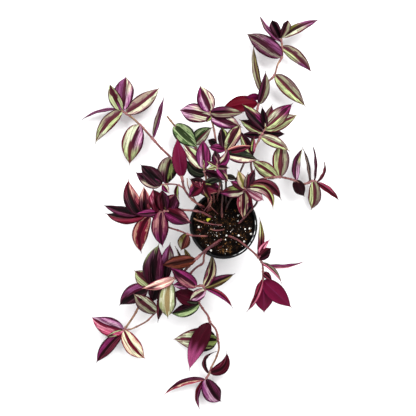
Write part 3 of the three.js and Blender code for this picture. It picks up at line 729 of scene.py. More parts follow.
def makeSheathSkin():                           # papery sleeve round the stem at each leaf
    material, tree = newMaterial("sheathSkin")
    streak = streakNode(tree, "sleeve", *sleevePaint["streak"])
    masks = dict(broad=streak["Broad"], fine=streak["Fine"], mouth=split(tree, onMap(tree, "sleeve"))[1])
    base = painted(tree, tint(*sleevePaint["pale"]), sleevePaint["coats"], masks)
    return coated(material, sleevePaint, base, sleevePaint["roughness"], streak["Fine"])


def makeHairSkin():                             # pale hairs round the mouth of a sleeve
    material, tree = newMaterial("hairSkin")
    spots = grainNode(tree, hairPaint["grit"], hairPaint["blotch"])
    base = mixed(tree, spots["Blotch"], tint(*hairPaint["pale"]), tint(*hairPaint["pink"]))
    return coated(material, hairPaint, base, hairPaint["roughness"])


def hairTree():                                 # a thin cone on each point, aimed as the point says
    tree, start, end = growthTree("mouthHairs", Length="Float", Width="Float", Seed="Int")
    roots = addNode(tree, "GeometryNodeMeshToPoints", {"Mesh": start["Geometry"]})
    aim = addNode(tree, "GeometryNodeInputNamedAttribute", {"Name": "aim"}, data_type="FLOAT_VECTOR")
    angle = addNode(tree, "FunctionNodeAlignRotationToVector", {"Vector": aim.outputs[0]}, axis="Z")
    hair = addNode(tree, "GeometryNodeMeshCone",
                   {"Vertices": sleeve["hairSides"], "Radius Top": 0.0, "Radius Bottom": start["Width"],
                    "Depth": start["Length"]})
    spread = addNode(tree, "GeometryNodeInstanceOnPoints",
                     {"Points": roots.outputs[0], "Instance": hair.outputs[0], "Rotation": angle.outputs[0],
                      "Scale": drawn(tree, sleeve["hairSizes"], start["Seed"])})
    return closeTree(tree, spread.outputs[0], start, end)


sheathSkin, hairSkin, mouthHairs = makeSheathSkin(), makeHairSkin(), hairTree()


def sleeveRings(line, marks, radii, mouth):     # middle, two sideways directions and radius of each ring
    start = max(marks[0], mouth - sleeve["length"])
    shares = np.linspace(0, 1, sleeve["rings"])
    stops = start + (mouth - start) * shares
    middle = along(stops, marks, line)
    aim = unit(np.gradient(middle, axis=0))
    least = np.eye(3)[np.argmin(np.abs(aim[len(aim) // 2]))]
    first = unit(np.cross(aim, least))
    radius = np.interp(stops, marks, radii) + sleeve["gap"] + sleeve["flare"] * shares ** sleeve["flareCurve"]
    return middle, aim, first, np.cross(aim, first), radius


def sleeveFaces(base):                          # an outer and an inner wall, joined at both ends
    sides, rings = sleeve["sides"], sleeve["rings"]
    shell, last = rings * sides, base + (rings - 1) * sides
    faces = []
    for i in range(sides):
        j = (i + 1) % sides
        for low in range(base, last, sides):
            high = low + sides
            faces.append((low + i, low + j, high + j, high + i))
            faces.append((low + shell + j, low + shell + i, high + shell + i, high + shell + j))
        faces.append((base + j, base + i, base + shell + i, base + shell + j))
        faces.append((last + i, last + j, last + shell + j, last + shell + i))
    return faces


def makeSleeves(name, spots):                   # from the line, marks, radii and mouth of each sleeve
    vertices, faces, sleeveMap, roots, aims = [], [], [], [], []
    sides, rings = sleeve["sides"], sleeve["rings"]
    for spot in spots:
        middle, aim, first, second, radius = sleeveRings(*spot)
        faces += sleeveFaces(len(vertices))
        for wall in (0, sleeve["wall"]):
            for k in range(rings):
                for i, (x, y) in enumerate(circle(1, sides)):
                    vertices.append(middle[k] + (first[k] * x + second[k] * y) * (radius[k] - wall))
                    sleeveMap.append((abs(2 * i / sides - 1), k / (rings - 1)))
        for i in range(sleeve["hairs"]):
            angle = 2 * math.pi * (i + len(roots) % 2 / 2) / sleeve["hairs"]  # unevenly apart
            out = first[-1] * math.cos(angle) + second[-1] * math.sin(angle)
            lean = unit(aim[-1] + out * sleeve["hairLean"])
            mouth = middle[-1] + out * (radius[-1] - sleeve["wall"] / 2)
            roots.append(mouth - lean * sleeve["hairLength"] * sleeve["hairSink"])
            aims.append(lean)
    piece = addMesh(name + "_sleeves", vertices, faces, sheathSkin)
    addMap(piece, "sleeve", sleeveMap)
    holder = addMesh(name + "_roots", roots, [], hairSkin)
    addValues(holder, "aim", "FLOAT_VECTOR", "vector", aims)
    hairs = grown(holder, mouthHairs, name + "_hairs", Length=sleeve["hairLength"] * mm,
                  Width=sleeve["hairWidth"] * mm, Seed=sleeve["hairSeed"], Skin=hairSkin)
    return piece, hairs


# Leaves. A look is that of a leaf half in the photo's light: the colours of its midrib, of the band
# beside it, of the outer band and of the margin, and of its underside where that isn't the plain one.
leafParts = ("rib", "inner", "outer", "edge", "under")
plainUnder = (106, 24, 56)
wine = (122, 46, 66)
looks = {
    "fresh": ((118, 66, 74), (194, 208, 158), (160, 170, 132), wine),
    "silver": ((122, 66, 80), (218, 226, 198), (172, 168, 148), wine),
    "sage": ((106, 60, 70), (156, 158, 132), (130, 112, 110), (92, 46, 62)),
    "lime": ((80, 44, 46), (174, 192, 120), (154, 172, 112), (80, 40, 46)),
    "green": ((74, 88, 58), (176, 194, 150), (112, 138, 94), (40, 44, 30)),
    "deepGreen": ((34, 26, 26), (82, 94, 74), (50, 56, 48), (36, 22, 28)),
    "olive": ((66, 34, 34), (124, 122, 66), (96, 78, 52), (66, 34, 38)),
    "mossy": ((48, 18, 26), (142, 156, 100), (58, 32, 40), (40, 16, 26)),
    "laced": ((84, 32, 48), (104, 50, 62), (190, 202, 160), (96, 36, 54)),
    "striped": ((64, 16, 36), (196, 188, 156), (126, 44, 90), (84, 20, 52)),
    "straw": ((140, 132, 78), (172, 166, 106), (210, 194, 178), (136, 84, 84)),
    "umber": ((80, 36, 34), (112, 62, 52), (98, 58, 46), (76, 38, 36)),
    "plum": ((50, 14, 30), (92, 36, 64), (112, 50, 88), (72, 20, 46)),
    "orchid": ((90, 36, 62), (200, 166, 186), (150, 82, 134), (96, 36, 72), (190, 104, 150)),
    "magenta": ((76, 18, 50), (150, 62, 118), (126, 44, 94), (84, 22, 60), (124, 30, 84)),
    "pink": ((120, 34, 64), (218, 152, 170), (190, 92, 124), (146, 46, 80)),
    "cream": ((98, 40, 60), (220, 220, 194), (180, 146, 150), (104, 38, 64)),
    "ivory": ((120, 32, 56), (236, 236, 206), (226, 206, 184), (158, 66, 84)),
    "rose": ((64, 14, 34), (86, 20, 44), (160, 84, 98), (224, 172, 158)),
    "blush": ((92, 18, 44), (136, 40, 70), (206, 164, 146), (124, 30, 60)),
    "veiled": ((112, 26, 56), (224, 196, 176), (152, 52, 88), (190, 104, 118)),
    "burgundy": ((58, 10, 26), (98, 20, 48), (114, 28, 60), (78, 16, 38), (92, 18, 48)),
    "ruby": ((82, 12, 34), (134, 28, 62), (142, 34, 72), (98, 18, 44), (124, 26, 52)),
    "night": ((26, 4, 14), (50, 10, 28), (78, 22, 50), (62, 14, 36), (60, 14, 32)),
    "mauve": ((100, 42, 68), (148, 94, 134), (130, 72, 112), (96, 38, 68), (130, 28, 76)),
    "dusty": ((120, 66, 80), (134, 98, 106), (182, 180, 154), (104, 42, 62)),
    "thistle": ((84, 40, 58), (152, 144, 132), (118, 70, 98), (92, 38, 64)),
    "fringed": ((54, 24, 38), (88, 52, 74), (98, 68, 86), (146, 154, 112)),
    "mint": ((176, 158, 120), (220, 226, 202), (168, 182, 142), (86, 62, 62)),
    "shell": ((226, 176, 168), (246, 238, 218), (230, 184, 184), (176, 86, 108)),
    "peach": ((120, 48, 60), (216, 184, 172), (188, 134, 132), (150, 70, 84)),
    "vine": ((84, 22, 56), (178, 132, 132), (124, 38, 84), (98, 26, 56)),
    "tawny": ((84, 34, 42), (186, 200, 136), (140, 86, 80), (96, 38, 56)),
    "petal": ((164, 96, 120), (230, 198, 204), (198, 142, 160), (150, 84, 104)),
    "leaflet": ((190, 200, 80), (236, 240, 110), (220, 222, 100), (170, 170, 80)),
    "dry": ((70, 32, 26), (112, 60, 44), (134, 80, 58), (84, 38, 28), (104, 56, 44)),
}
looks = {name: dict(zip(leafParts, colours)) for name, colours in looks.items()}
leafPaint = dict(                               # coats: mask, its span, the share at both ends, colour
    light=0.8, depth=1.35, uneven=0.2,          # a leaf is painted darker than it looks when lit
    coats=[("clouded", (0.46, 0.62), (0, 1), "outer"), ("fine", (0.5, 0.64), (0, 0.42), "rib"),
           # white soft light over fine streaks: a painted glint
           ("fine", (0.5, 0.34), (0, 0.4), "glintWhite", "SOFT_LIGHT"),
           # pale bands: partly the leaf's own streaks, partly a painted glint
           ("bands", (0.47, 0.36), (0, 0.55), "paleStreakAndGlint"), ("bands", (0.53, 0.63), (0, 0.6), "rib"),
           ("margin", (0.77, 0.86), (0, 1), "edge"), ("shifted", (0.19, 0.31), (1, 0), "rib"),
           ("point", (0.82, 1), (0, 0.8), "edge")],
    bellyCoats=[("fine", (0.42, 0.62), (0, 0.45), "rib"), ("across", (0.02, 0.06), (0.4, 0), "outer")],
    streak=(0.5, 0.03), bands=(0.7, 0.016), bandSeed=5, marginWobble=0.4, paleStreakAndGlintShare=0.14,
    # the brightening and the colour after it make pale streaks with a painted glint; shade and dark are the
    # painted shade of the crown thicket on the leaves, and its colour
    brighten=(1.7, 1.7, 1.7, 1), paleStreakAndGlint=(0.5, 0.22, 0.3, 1), shade=0.5, dark=(30, 8, 18),
    wobble=(0.28, 0.72, -0.14, 0.14),           # spans of a noise and what they become
    cloud=(0.35, 0.65, -0.2, 0.2), mottle=(0.3, 0.7, 0.84, 1.1), roughness=(0.3, 0.7, 0.34, 0.5),
    cloudScale=70, mottleScale=900, cellScale=1500, ridges=5.2, ridgeShare=0.5, cellShare=0.9,
    specular=0.05, relief=0.35, reliefDepth=0.16)


def leafMasks(tree, streak, bands):             # where on a blade each coat goes
    parts = split(tree, onMap(tree, "blade"))
    across = maths(tree, "ABSOLUTE", maths(tree, "MULTIPLY_ADD", parts[0], 2, -1))
    wobble = ramp(tree, streak["Broad"], *leafPaint["wobble"])
    shifted = maths(tree, "ADD", across, wobble)
    cloud = noiseValue(tree, onObject(tree), leafPaint["cloudScale"], detail=2)
    cloud = ramp(tree, cloud, *leafPaint["cloud"])
    return dict(across=across, shifted=shifted, fine=streak["Fine"], bands=bands["Broad"],
                clouded=maths(tree, "ADD", shifted, cloud), point=maths(tree, "ADD", parts[1], wobble),
                margin=maths(tree, "MULTIPLY_ADD", wobble, leafPaint["marginWobble"], across))


def leafHeight(tree):                           # fine ridges along the blade with small cells on them
    ridges = maths(tree, "MULTIPLY", split(tree, onMap(tree, "bladeSize"))[0], leafPaint["ridges"])
    cells = noiseValue(tree, onObject(tree), leafPaint["cellScale"], detail=1)
    return maths(tree, "MULTIPLY_ADD", maths(tree, "SINE", ridges), leafPaint["ridgeShare"],
                 maths(tree, "MULTIPLY", cells, leafPaint["cellShare"]))


def makeLeafSkin():                             # bands, midrib and margin, from what each vertex carries, with painted glints and painted shade under the crown
    material, tree = newMaterial("leafSkin")
    carried = {part: addNode(tree, "ShaderNodeAttribute", attribute_name=part + "Tint").outputs
               for part in leafParts}
    colours = {part: outputs["Color"] for part, outputs in carried.items()}
    # pale streak colour, the inner one brightened: partly the leaf's own streaks, partly a painted glint
    bright = mixed(tree, 1, colours["inner"], leafPaint["brighten"], "MULTIPLY")
    colours["paleStreakAndGlint"] = mixed(tree, leafPaint["paleStreakAndGlintShare"], bright, leafPaint["paleStreakAndGlint"])
    colours["glintWhite"] = (1, 1, 1, 1)
    seed = carried["edge"]["Alpha"]
    streak = streakNode(tree, "bladeSize", *leafPaint["streak"], seed)
    bandSeed = maths(tree, "ADD", seed, leafPaint["bandSeed"])
    bands = streakNode(tree, "bladeSize", *leafPaint["bands"], bandSeed)
    masks = leafMasks(tree, streak, bands)
    body = painted(tree, colours["inner"], leafPaint["coats"], masks, colours)
    belly = painted(tree, colours["under"], leafPaint["bellyCoats"], masks, colours)
    skin = mixed(tree, carried["under"]["Alpha"], body, belly)
    # painted shade on the leaves under the crown
    skin = shaded(tree, skin, leafPaint["shade"], leafPaint["dark"])
    mottle = noiseValue(tree, onObject(tree), leafPaint["mottleScale"], detail=2)
    mottle = ramp(tree, mottle, *leafPaint["mottle"])
    grey = addNode(tree, "ShaderNodeCombineColor", {channel: mottle for channel in range(3)}).outputs[0]
    skin = mixed(tree, 1, skin, grey, "MULTIPLY")
    rough = ramp(tree, streak["Fine"], *leafPaint["roughness"])
    return coated(material, leafPaint, skin, rough, leafHeight(tree))


leafSkin = makeLeafSkin()
blade = dict(                                   # sizes in mm, angles in degrees, shares of the blade
    rows=26, columns=16, thickness=0.5, rimCurve=6, endThin=0.2, endReach=12, groove=0.06, dome=0.17,
    cup=0.1, cupCurve=4, ripple=0.4, rippleCount=3.1, rippleShift=0.37, rippleSeed=7, clasp=64,
    claspReach=0.06, sheathWidth=3.4, tipWidth=0.9, taper=1.8, thinPoint=0.05, reach=1.04, lowest=0.3,
    tipStart=0.4, tipBlend=0.3, tipDrift=0.05, driftCount=17, driftSeed=40, mapSeed=30, toneSeed=7.3,
    shootStep=0.618, leafStep=0.377)


def halfWidths(share, width, peak):             # round to the widest place, then drawn out to a thin point
    rounded = np.sqrt(np.clip(1 - (1 - share / peak) ** 2, 0, 1))
    pointed = 1 - np.clip((share - peak) / (1 - blade["thinPoint"] - peak), 0, 1) ** blade["taper"]
    least = (blade["sheathWidth"] * (1 - share) ** 2 + blade["tipWidth"] * share) / 2
    return np.maximum(width / 2 * np.where(share < peak, rounded, pointed), least)


def bladeSpine(share, base, run, arch, bend, roll):  # its middle line, and left and up at each place of it
    sway = up * arch + unit(np.cross(up, run)) * bend
    middle = base + run * share + sway * (4 * share * (1 - share))
    aim = unit(run + sway * (4 * (1 - 2 * share)))
    flat = unit(np.cross(up, aim))
    turn = math.radians(roll)
    left = flat * math.cos(turn) + np.cross(aim, flat) * math.sin(turn)
    return middle[:, None, :], left[:, None, :], np.cross(aim, left)[:, None, :]


def bladeSurface(base, tip, width, seed, arch=0, bend=0, roll=0, fold=12, peak=0.4):
    share = np.linspace(0, 1, blade["rows"] + 1)[:, None]
    side = np.linspace(-1, 1, blade["columns"] + 1)[None, :]
    run = (tip - base) * blade["reach"]
    middle, left, normal = bladeSpine(share, base, run, arch, bend, roll)
    half = halfWidths(share, width, peak)
    closed = np.radians(fold + (blade["clasp"] - fold) * np.exp(-share / blade["claspReach"]))
    away = np.abs(side)
    calm = np.sin(math.pi * share) ** 0.5       # the blade lies stiller at both ends
    ridge = np.sqrt(side ** 2 + blade["groove"] ** 2) - blade["groove"]
    dome = blade["dome"] * np.sin(math.pi * away) - blade["cup"] * away ** blade["cupCurve"]
    turns = blade["rippleCount"] * share + seed * blade["rippleSeed"] + (side > 0) * blade["rippleShift"]
    ripple = blade["ripple"] * calm * away ** 2 * np.sin(2 * math.pi * turns)
    lift = half * (ridge * np.sin(closed) + calm * dome) + ripple
    sheet = middle + left * (side * half * np.cos(closed))[..., None] + normal * lift[..., None]
    ends = np.minimum(1, blade["endReach"] * np.sqrt(share * (1 - share)) + blade["endThin"])
    thick = blade["thickness"] / 2 * np.sqrt(1 - away ** blade["rimCurve"]) * ends
    offset = normal * thick[..., None]
    length = np.linalg.norm(run)
    sizes = np.stack(np.broadcast_arrays(side * half + seed * blade["mapSeed"], share * length), axis=-1)
    shares = np.stack(np.broadcast_arrays((side + 1) / 2, share), axis=-1)
    return sheet + offset, sheet - offset, shares, sizes


def halfTints(look, part):                      # the right and the left half's colour of one part
    names = reversed(look.split("|")) if "|" in look else (look, look)
    return [np.array(tint(*looks[name].get(part, plainUnder))) for name in names]


def leafTints(look, part, points, seed):        # one part's colour at each point; a second look is the tip's
    side = points[:, 0] >= 0.5
    shown = [np.where(side[:, None], left, right)
             for right, left in (halfTints(end, part) for end in look.split(">"))]
    drift = blade["tipDrift"] * np.sin(points[:, 0] * blade["driftCount"] + seed * blade["driftSeed"])
    reach = np.clip((points[:, 1] + drift - blade["tipStart"]) / blade["tipBlend"], 0, 1)
    return shown[0] + (shown[-1] - shown[0]) * (reach * reach * (3 - 2 * reach))[:, None]


def bladeFaces(start, rim):                     # an upper and a lower side that share their rim
    front = start + np.arange(rim.size).reshape(rim.shape)
    behind = front.copy()
    behind[~rim] = start + rim.size + np.arange((~rim).sum())
    faces = []
    for grid, order in ((front, 1), (behind, -1)):
        corners = (grid[:-1, :-1], grid[1:, :-1], grid[1:, 1:], grid[:-1, 1:])
        faces += np.stack([corner.ravel() for corner in corners], axis=1)[:, ::order].tolist()
    return faces


def makeLeaves(name, leaves, key):              # from each leaf's base and tip in mm, width, look and lie
    vertices, faces, shareMap, sizeMap = [], [], [], []
    tints = {part: [] for part in leafParts}
    rim = np.ones((blade["rows"] + 1, blade["columns"] + 1), dtype=bool)
    rim[1:-1, 1:-1] = False
    for index, (base, tip, width, look, lie) in enumerate(leaves):
        seed = (key * blade["shootStep"] + index * blade["leafStep"]) % 1
        top, bottom, shares, sizes = bladeSurface(base, tip, width, seed, **lie)
        faces += bladeFaces(sum(len(block) for block in vertices), rim)
        upper = np.where(rim[..., None], (top + bottom) / 2, top).reshape(-1, 3)
        points = np.concatenate((upper, bottom[~rim]))
        points[:, 2] = np.maximum(points[:, 2], blade["lowest"])
        vertices.append(points)
        for store, grid in ((shareMap, shares), (sizeMap, sizes)):
            store.append(np.concatenate((grid.reshape(-1, 2), grid[~rim])))
        tone = leafPaint["light"] * (1 + leafPaint["uneven"] * (seed * blade["toneSeed"] % 1 - 0.5))
        for part, blocks in tints.items():
            colours = leafTints(look, part, shareMap[-1], seed)
            colours[:, :3] = colours[:, :3] ** leafPaint["depth"] * tone
            blocks.append(colours)
        tints["edge"][-1][:, 3] = seed
        tints["under"][-1][:, 3] = np.arange(len(points)) >= rim.size
    piece = addMesh(name, np.concatenate(vertices), faces, leafSkin)
    addMap(piece, "blade", np.concatenate(shareMap))
    addMap(piece, "bladeSize", np.concatenate(sizeMap))
    for part, blocks in tints.items():
        addValues(piece, part + "Tint", "FLOAT_COLOR", "color", np.concatenate(blocks))
    return piece


# Each shoot: its stems as plan places from the soil outwards, and its leaves. A leaf is the place
# where it leaves the stem, its tip, its width in mm, the look of its left and right half, and how
# it lies: arch lifts its middle, bend swings it to the left, roll tips its left edge up (180 shows
# its underside), fold closes its halves upwards, and peak is where it is widest.
shoots = {
    "shoot_top_right": dict(stems=[
        dict(radius=1.7, path=[(230, 200, 80), (231, 193.5, 96.5), (233, 186, 99), (240, 172, 90),
            (246, 158, 74), (252, 140, 58), (256, 122, 46), (258, 106, 40), (262, 92, 36),
            (268, 82, 33), (274, 76, 30), (278, 64, 27), (282, 57, 26), (282, 46, 27),
            (281, 38, 30)]),
    ], leaves=[
        ((282, 57), (247, 34, 12), 32, "thistle|mauve>thistle|thistle", dict(arch=7, peak=0.45)),
        ((281, 43), (260, 15, 24), 22, "mauve>sage|mauve", dict(arch=4, roll=55, bend=6)),
        ((280, 38), (272, 20, 40), 19, "night", dict(roll=-30, fold=30, peak=0.7)),
        ((281, 38), (288, 20, 42), 19, "night|sage", dict(roll=30, fold=30, peak=0.7)),
        ((281, 39), (319, 20, 22), 25, "olive|silver>mauve", dict(arch=5, roll=-42, bend=2)),
        ((282, 46), (311, 72, 12), 22, "dusty|fresh>dusty|mauve", dict(arch=4, roll=35, bend=3)),
        ((275, 75), (305, 106, 12), 26, "sage|fresh", dict(arch=6)),
        ((262, 92), (254, 46, 18), 17, "sage|olive", dict(arch=2, roll=-50, bend=4)),
        ((259, 104), (265, 72, 46), 22, "plum|sage", dict(arch=3, roll=25, fold=30, bend=-3)),
        ((258, 103), (222, 110, 38), 27, "ruby", dict(arch=9, roll=180, bend=-3, peak=0.45)),
        ((260, 97), (246, 97, 46), 12, "magenta", dict(roll=180)),
    ]),
    "shoot_upper_middle": dict(stems=[
        dict(radius=1.8, path=[(222, 217, 80), (221.8, 208, 90), (222.5, 197, 96),
            (221.5, 186, 98), (219, 168, 91), (217, 148, 80), (214, 130, 72), (211, 116, 70),
            (210, 111, 73)]),
    ], leaves=[
        ((210, 112), (200, 86, 66), 29, "orchid|cream>magenta|cream", dict(arch=4)),
        ((210, 117), (180, 110, 60), 31, "cream|cream>orchid", dict(arch=4, peak=0.55)),
        ((211, 116), (241, 127, 78), 27, "orchid|orchid>cream|plum", dict(arch=5)),
        ((212, 112), (243, 113, 84), 20, "plum|sage>sage", dict(arch=5)),
        ((211, 116), (206, 122, 84), 8, "lime|plum", dict()),
        # a dark leaf hidden under the others, near-black as painted shade in the gap between them
        ((216, 144), (208, 140, 72), 13, "night", dict(arch=2)),
    ]),
    "shoot_green_pair": dict(stems=[
        dict(radius=1.9, path=[(214, 202, 80), (213.5, 194.5, 97), (211, 186, 98), (208, 174, 84),
            (202, 160, 56), (195, 147, 32), (184, 135, 22), (175, 126, 20), (167, 116, 19)]),
    ], leaves=[
        ((175, 126), (197, 147, 44), 31, "green", dict(arch=7, peak=0.45)),
        ((194, 144), (212, 128, 22), 24, "green|silver", dict(arch=4, bend=3)),
        ((206, 173), (187, 160, 62), 24, "deepGreen", dict(arch=3, bend=6)),
    ]),
    "shoot_upper_right": dict(stems=[
        dict(radius=1.8, path=[(239, 223, 80), (245, 217, 88), (251, 210, 95), (257, 202, 98),
            (257, 192, 92), (254, 178, 84), (251, 165, 78), (254, 150, 73), (260, 138, 69),
            (265, 129, 68), (266, 126, 71)]),
    ], leaves=[
        ((265, 128), (292, 104, 60), 27, "silver|fresh>magenta", dict(arch=5)),
        ((265, 130), (297, 115, 52), 24, "silver|fresh", dict(arch=4)),
        ((265, 129), (243, 105, 60), 22, "night|magenta>night|fresh", dict(arch=5)),
        ((263, 133), (240, 120, 50), 19, "fresh|night", dict(arch=3)),
        ((261, 137), (289, 151, 62), 19, "silver|fresh", dict(arch=5, bend=2)),
        ((265, 127), (262, 107, 80), 12, "night", dict()),
        ((265, 127), (272, 105, 52), 15, "sage|plum", dict(arch=2)),
        ((253, 155), (254, 137, 92), 8, "lime|pink", dict()),
        ((252, 156), (240, 131, 84), 17, "fresh|night", dict(arch=2)),
        # the next two: dark leaves hidden under the others, near-black as painted shade between them
        ((262, 133), (285, 134, 58), 15, "night", dict(arch=2)),
        ((261, 136), (243, 134, 62), 13, "night", dict()),
    ]),
    "shoot_right": dict(stems=[
        dict(radius=1.8, path=[(237, 203.5, 80), (239, 197.5, 96), (243, 191.5, 99), (250, 184, 100),
            (262, 179, 88), (279, 177, 62), (290, 179, 44), (296, 181, 36), (302, 184, 28),
            (308, 183, 24), (312, 181, 22), (317, 182, 22)]),
    ], leaves=[
        ((280, 177), (282, 143, 46), 28, "fresh|sage", dict(arch=5, bend=1, peak=0.5)),
        ((276, 178), (252, 161, 88), 24, "fresh", dict(arch=3, peak=0.45)),
        ((296, 181), (303, 149, 24), 20, "plum|orchid>plum|fresh", dict(arch=4, roll=40, bend=6)),
        ((309, 183), (302, 147, 38), 17, "sage|night", dict(roll=65, bend=-3)),
        ((314, 181), (312, 144, 20), 13, "plum", dict(roll=60, bend=-4)),
        ((316, 182), (323, 160, 26), 13, "ruby|burgundy", dict(roll=60, bend=-7)),
        ((316, 182), (339, 201, 8), 15, "pink|ruby>ruby", dict(arch=3, roll=50, bend=3)),
        ((313, 181), (311, 209, 8), 22, "sage|fresh", dict(arch=4, bend=4, peak=0.55)),
        ((294, 181), (304, 196, 14), 20, "night", dict(arch=5, roll=180, peak=0.5)),
    ]),
    "shoot_middle_right": dict(stems=[
        dict(radius=1.8, path=[(226, 203, 80), (226, 195, 97), (226, 188, 104), (226, 176, 109),
            (226, 162, 108), (226, 152, 107), (225, 147, 110)]),
    ], leaves=[
        ((226, 154), (258, 160, 98), 23, "deepGreen|cream", dict(arch=5, roll=-12)),
        ((226, 150), (240, 125, 96), 22, "laced|striped", dict(arch=4, peak=0.55)),
        ((225, 149), (222, 127, 94), 20, "night|mossy", dict(arch=3, roll=10)),
        ((225, 150), (209, 147, 98), 15, "magenta", dict(arch=3)),
        ((226, 152), (252, 146, 112), 14, "rose|burgundy", dict(arch=2, roll=30)),
        ((226, 176), (237, 179, 108), 9, "deepGreen", dict(arch=2)),
    ]),
    "shoot_middle": dict(stems=[
        dict(radius=1.8, path=[(209, 205, 80), (208, 198, 95), (207, 190, 101), (206, 178, 108),
            (204, 169, 111), (203, 165, 114)]),
    ], leaves=[
        ((204, 168), (203, 140, 104), 24, "orchid|magenta>magenta", dict(arch=5)),
        ((204, 168), (184, 145, 96), 22, "silver|laced", dict(arch=5)),
        ((204, 171), (226, 180, 101), 15, "plum|night>striped|plum", dict(arch=3, roll=-15)),
    ]),
    "shoot_middle_young": dict(stems=[
        dict(radius=1.6, path=[(217.5, 200.5, 80), (217.5, 196, 101), (219, 191, 113.5),
            (219.5, 178, 119), (217, 166, 124), (217, 162, 127)]),
    ], leaves=[
        ((217, 166), (207, 161, 132), 7, "fresh|plum", dict()),
        ((217, 167), (207, 169, 130), 7, "fresh", dict()),
        ((217, 164), (214, 155, 138), 7, "magenta|cream", dict()),
        ((217, 165), (227, 149, 126), 16, "cream|magenta", dict(roll=20, bend=-5)),
        ((217, 167), (229, 168, 130), 8, "night|sage", dict()),
        ((217, 168), (228, 181, 122), 15, "plum|magenta>striped|plum", dict(arch=3)),
        ((217, 165), (215, 150, 118), 15, "night", dict(arch=3, roll=-20)),
    ]),
    "shoot_crown_left": dict(stems=[
        dict(radius=1.8, path=[(207.5, 211, 80), (210.5, 204, 95), (211, 198, 105), (207, 191, 112),
            (204, 185, 116), (201, 181, 118)]),
    ], leaves=[
        ((203, 184), (222, 191, 102.5), 25, "burgundy|burgundy>magenta|rose", dict(arch=6, fold=-20)),
        ((199, 179), (210, 199, 106), 22, "burgundy|vine>burgundy|olive", dict(arch=5, fold=-12)),
        ((204, 186), (190, 179, 114), 17, "burgundy|night", dict(arch=3)),
        ((203, 182), (189, 197, 104), 21, "burgundy|rose>burgundy|magenta", dict(arch=4, roll=10)),
        ((204, 185), (212, 185, 128), 7, "lime|night", dict()),
        ((204, 185), (223, 183, 123), 12, "deepGreen", dict(arch=3, roll=20, bend=6)),
    ]),
    "shoot_crown_right": dict(stems=[
        dict(radius=1.8, path=[(226, 209, 80), (230, 200.5, 94), (236, 195, 104), (243, 191, 114),
            (246, 188, 119)]),
    ], leaves=[
        ((245, 192), (220, 193, 114), 20, "cream|lime>magenta|burgundy", dict(arch=4)),
        ((246, 190), (230, 181, 118), 13, "burgundy|magenta", dict(arch=2, roll=20)),
        ((245, 193), (243, 218, 102), 21, "striped|veiled", dict(arch=5)),
        ((246, 191), (253, 209, 108), 15, "ruby|magenta", dict(arch=3, roll=50)),
        ((246, 188), (272, 210, 100), 16, "tawny|cream>tawny|rose", dict(arch=6, bend=16)),
        ((246, 188), (280, 200, 90), 17, "burgundy", dict(arch=6, bend=15, peak=0.6)),
        ((248, 192), (263, 200, 108), 15, "petal", dict(arch=3, peak=0.66)),
        ((246, 187), (248, 173, 122), 9, "sage|burgundy", dict(arch=2)),
        ((247, 187), (255, 169, 110), 13, "burgundy|night", dict(arch=4)),
        ((244, 188), (238, 170.5, 118), 16, "straw", dict(arch=2)),
    ]),
    "shoot_left": dict(stems=[
        dict(radius=2, path=[(211, 217, 80), (209, 216, 90), (203, 212.7, 96), (196, 211, 98.5),
            (180, 210, 98), (165, 211, 92), (150, 214, 84), (140, 215, 80)]),
        dict(radius=1.6, path=[(207, 236, 80), (199, 236, 93), (190, 235, 98), (180, 231, 94),
            (168, 227, 86), (158, 221, 83), (150, 215, 84)]),
    ], leaves=[
        ((160, 211), (153, 189, 124), 27, "burgundy|night>pink|burgundy", dict(arch=-5, peak=0.5)),
        ((164, 211), (162, 190, 130), 22, "burgundy|plum", dict(arch=-4, peak=0.55)),
        ((168, 211), (175, 194, 122), 27, "olive|plum>vine|plum", dict(arch=-4, peak=0.55)),
        ((166, 211), (191, 223, 104), 27, "burgundy|magenta>vine|plum", dict(arch=4)),
        ((162, 211), (163, 246, 66), 28, "vine>magenta", dict(arch=12, bend=-3, peak=0.42)),
        ((150, 217), (142, 252, 54), 26, "blush", dict(arch=6, bend=-9, peak=0.5)),
        ((148, 215), (106, 213, 42), 28, "ruby|night", dict(arch=6, roll=35, bend=6)),
        ((140, 215), (104, 205, 52), 20, "plum|night", dict(arch=4, roll=35, bend=2)),
        ((142, 215), (129, 180, 72), 26, "night|rose>burgundy|peach", dict(arch=8, bend=6)),
        ((146, 214), (144, 187, 80), 20, "night|rose>peach|rose", dict(arch=6)),
        ((158, 211), (136, 214, 98), 13, "plum|magenta", dict(arch=3)),
        ((150, 216), (141, 220, 78), 8, "pink", dict()),
        ((187, 234), (181, 250, 96), 20, "umber|olive>umber|sage", dict(arch=3, peak=0.5)),
    ]),
    "shoot_upper_left": dict(stems=[
        dict(radius=2, path=[(204, 207, 80), (200, 204.8, 96), (195, 202, 99), (189, 196, 98),
            (184, 188, 94), (182, 178, 83), (178, 168, 70), (171, 158, 56), (160, 147, 42),
            (152, 138, 36), (141, 126, 30), (130, 116, 27), (124, 112, 27), (121, 110, 29)]),
        dict(radius=1.5, path=[(184, 188, 94), (178, 185, 94), (170, 184, 92), (161, 185, 91)]),
    ], leaves=[
        ((182, 177), (177, 139, 64), 24, "mauve", dict(arch=5, roll=180, peak=0.45)),
        ((162, 185), (141, 165, 76), 27, "night", dict(arch=4)),
        ((162, 185), (136, 172, 70), 22, "cream|plum>plum", dict(arch=3, bend=3)),
        ((163, 185), (169, 193, 98), 11, "cream|magenta", dict()),
        ((178, 185), (180, 203, 88), 9, "lime|burgundy>cream", dict(roll=30, bend=-4)),
        ((171, 158), (167, 185, 64), 32, "mossy|sage>mossy|plum", dict(arch=5, bend=-3, peak=0.5)),
        ((122, 111), (126, 77, 20), 33, "mauve|orchid>mauve|cream", dict(arch=5, peak=0.55)),
        ((126, 113), (159, 88, 14), 27, "dusty|cream>dusty|silver", dict(arch=5, bend=-3, peak=0.45)),
        ((122, 110), (110, 84, 30), 21, "laced", dict(arch=4, bend=2)),
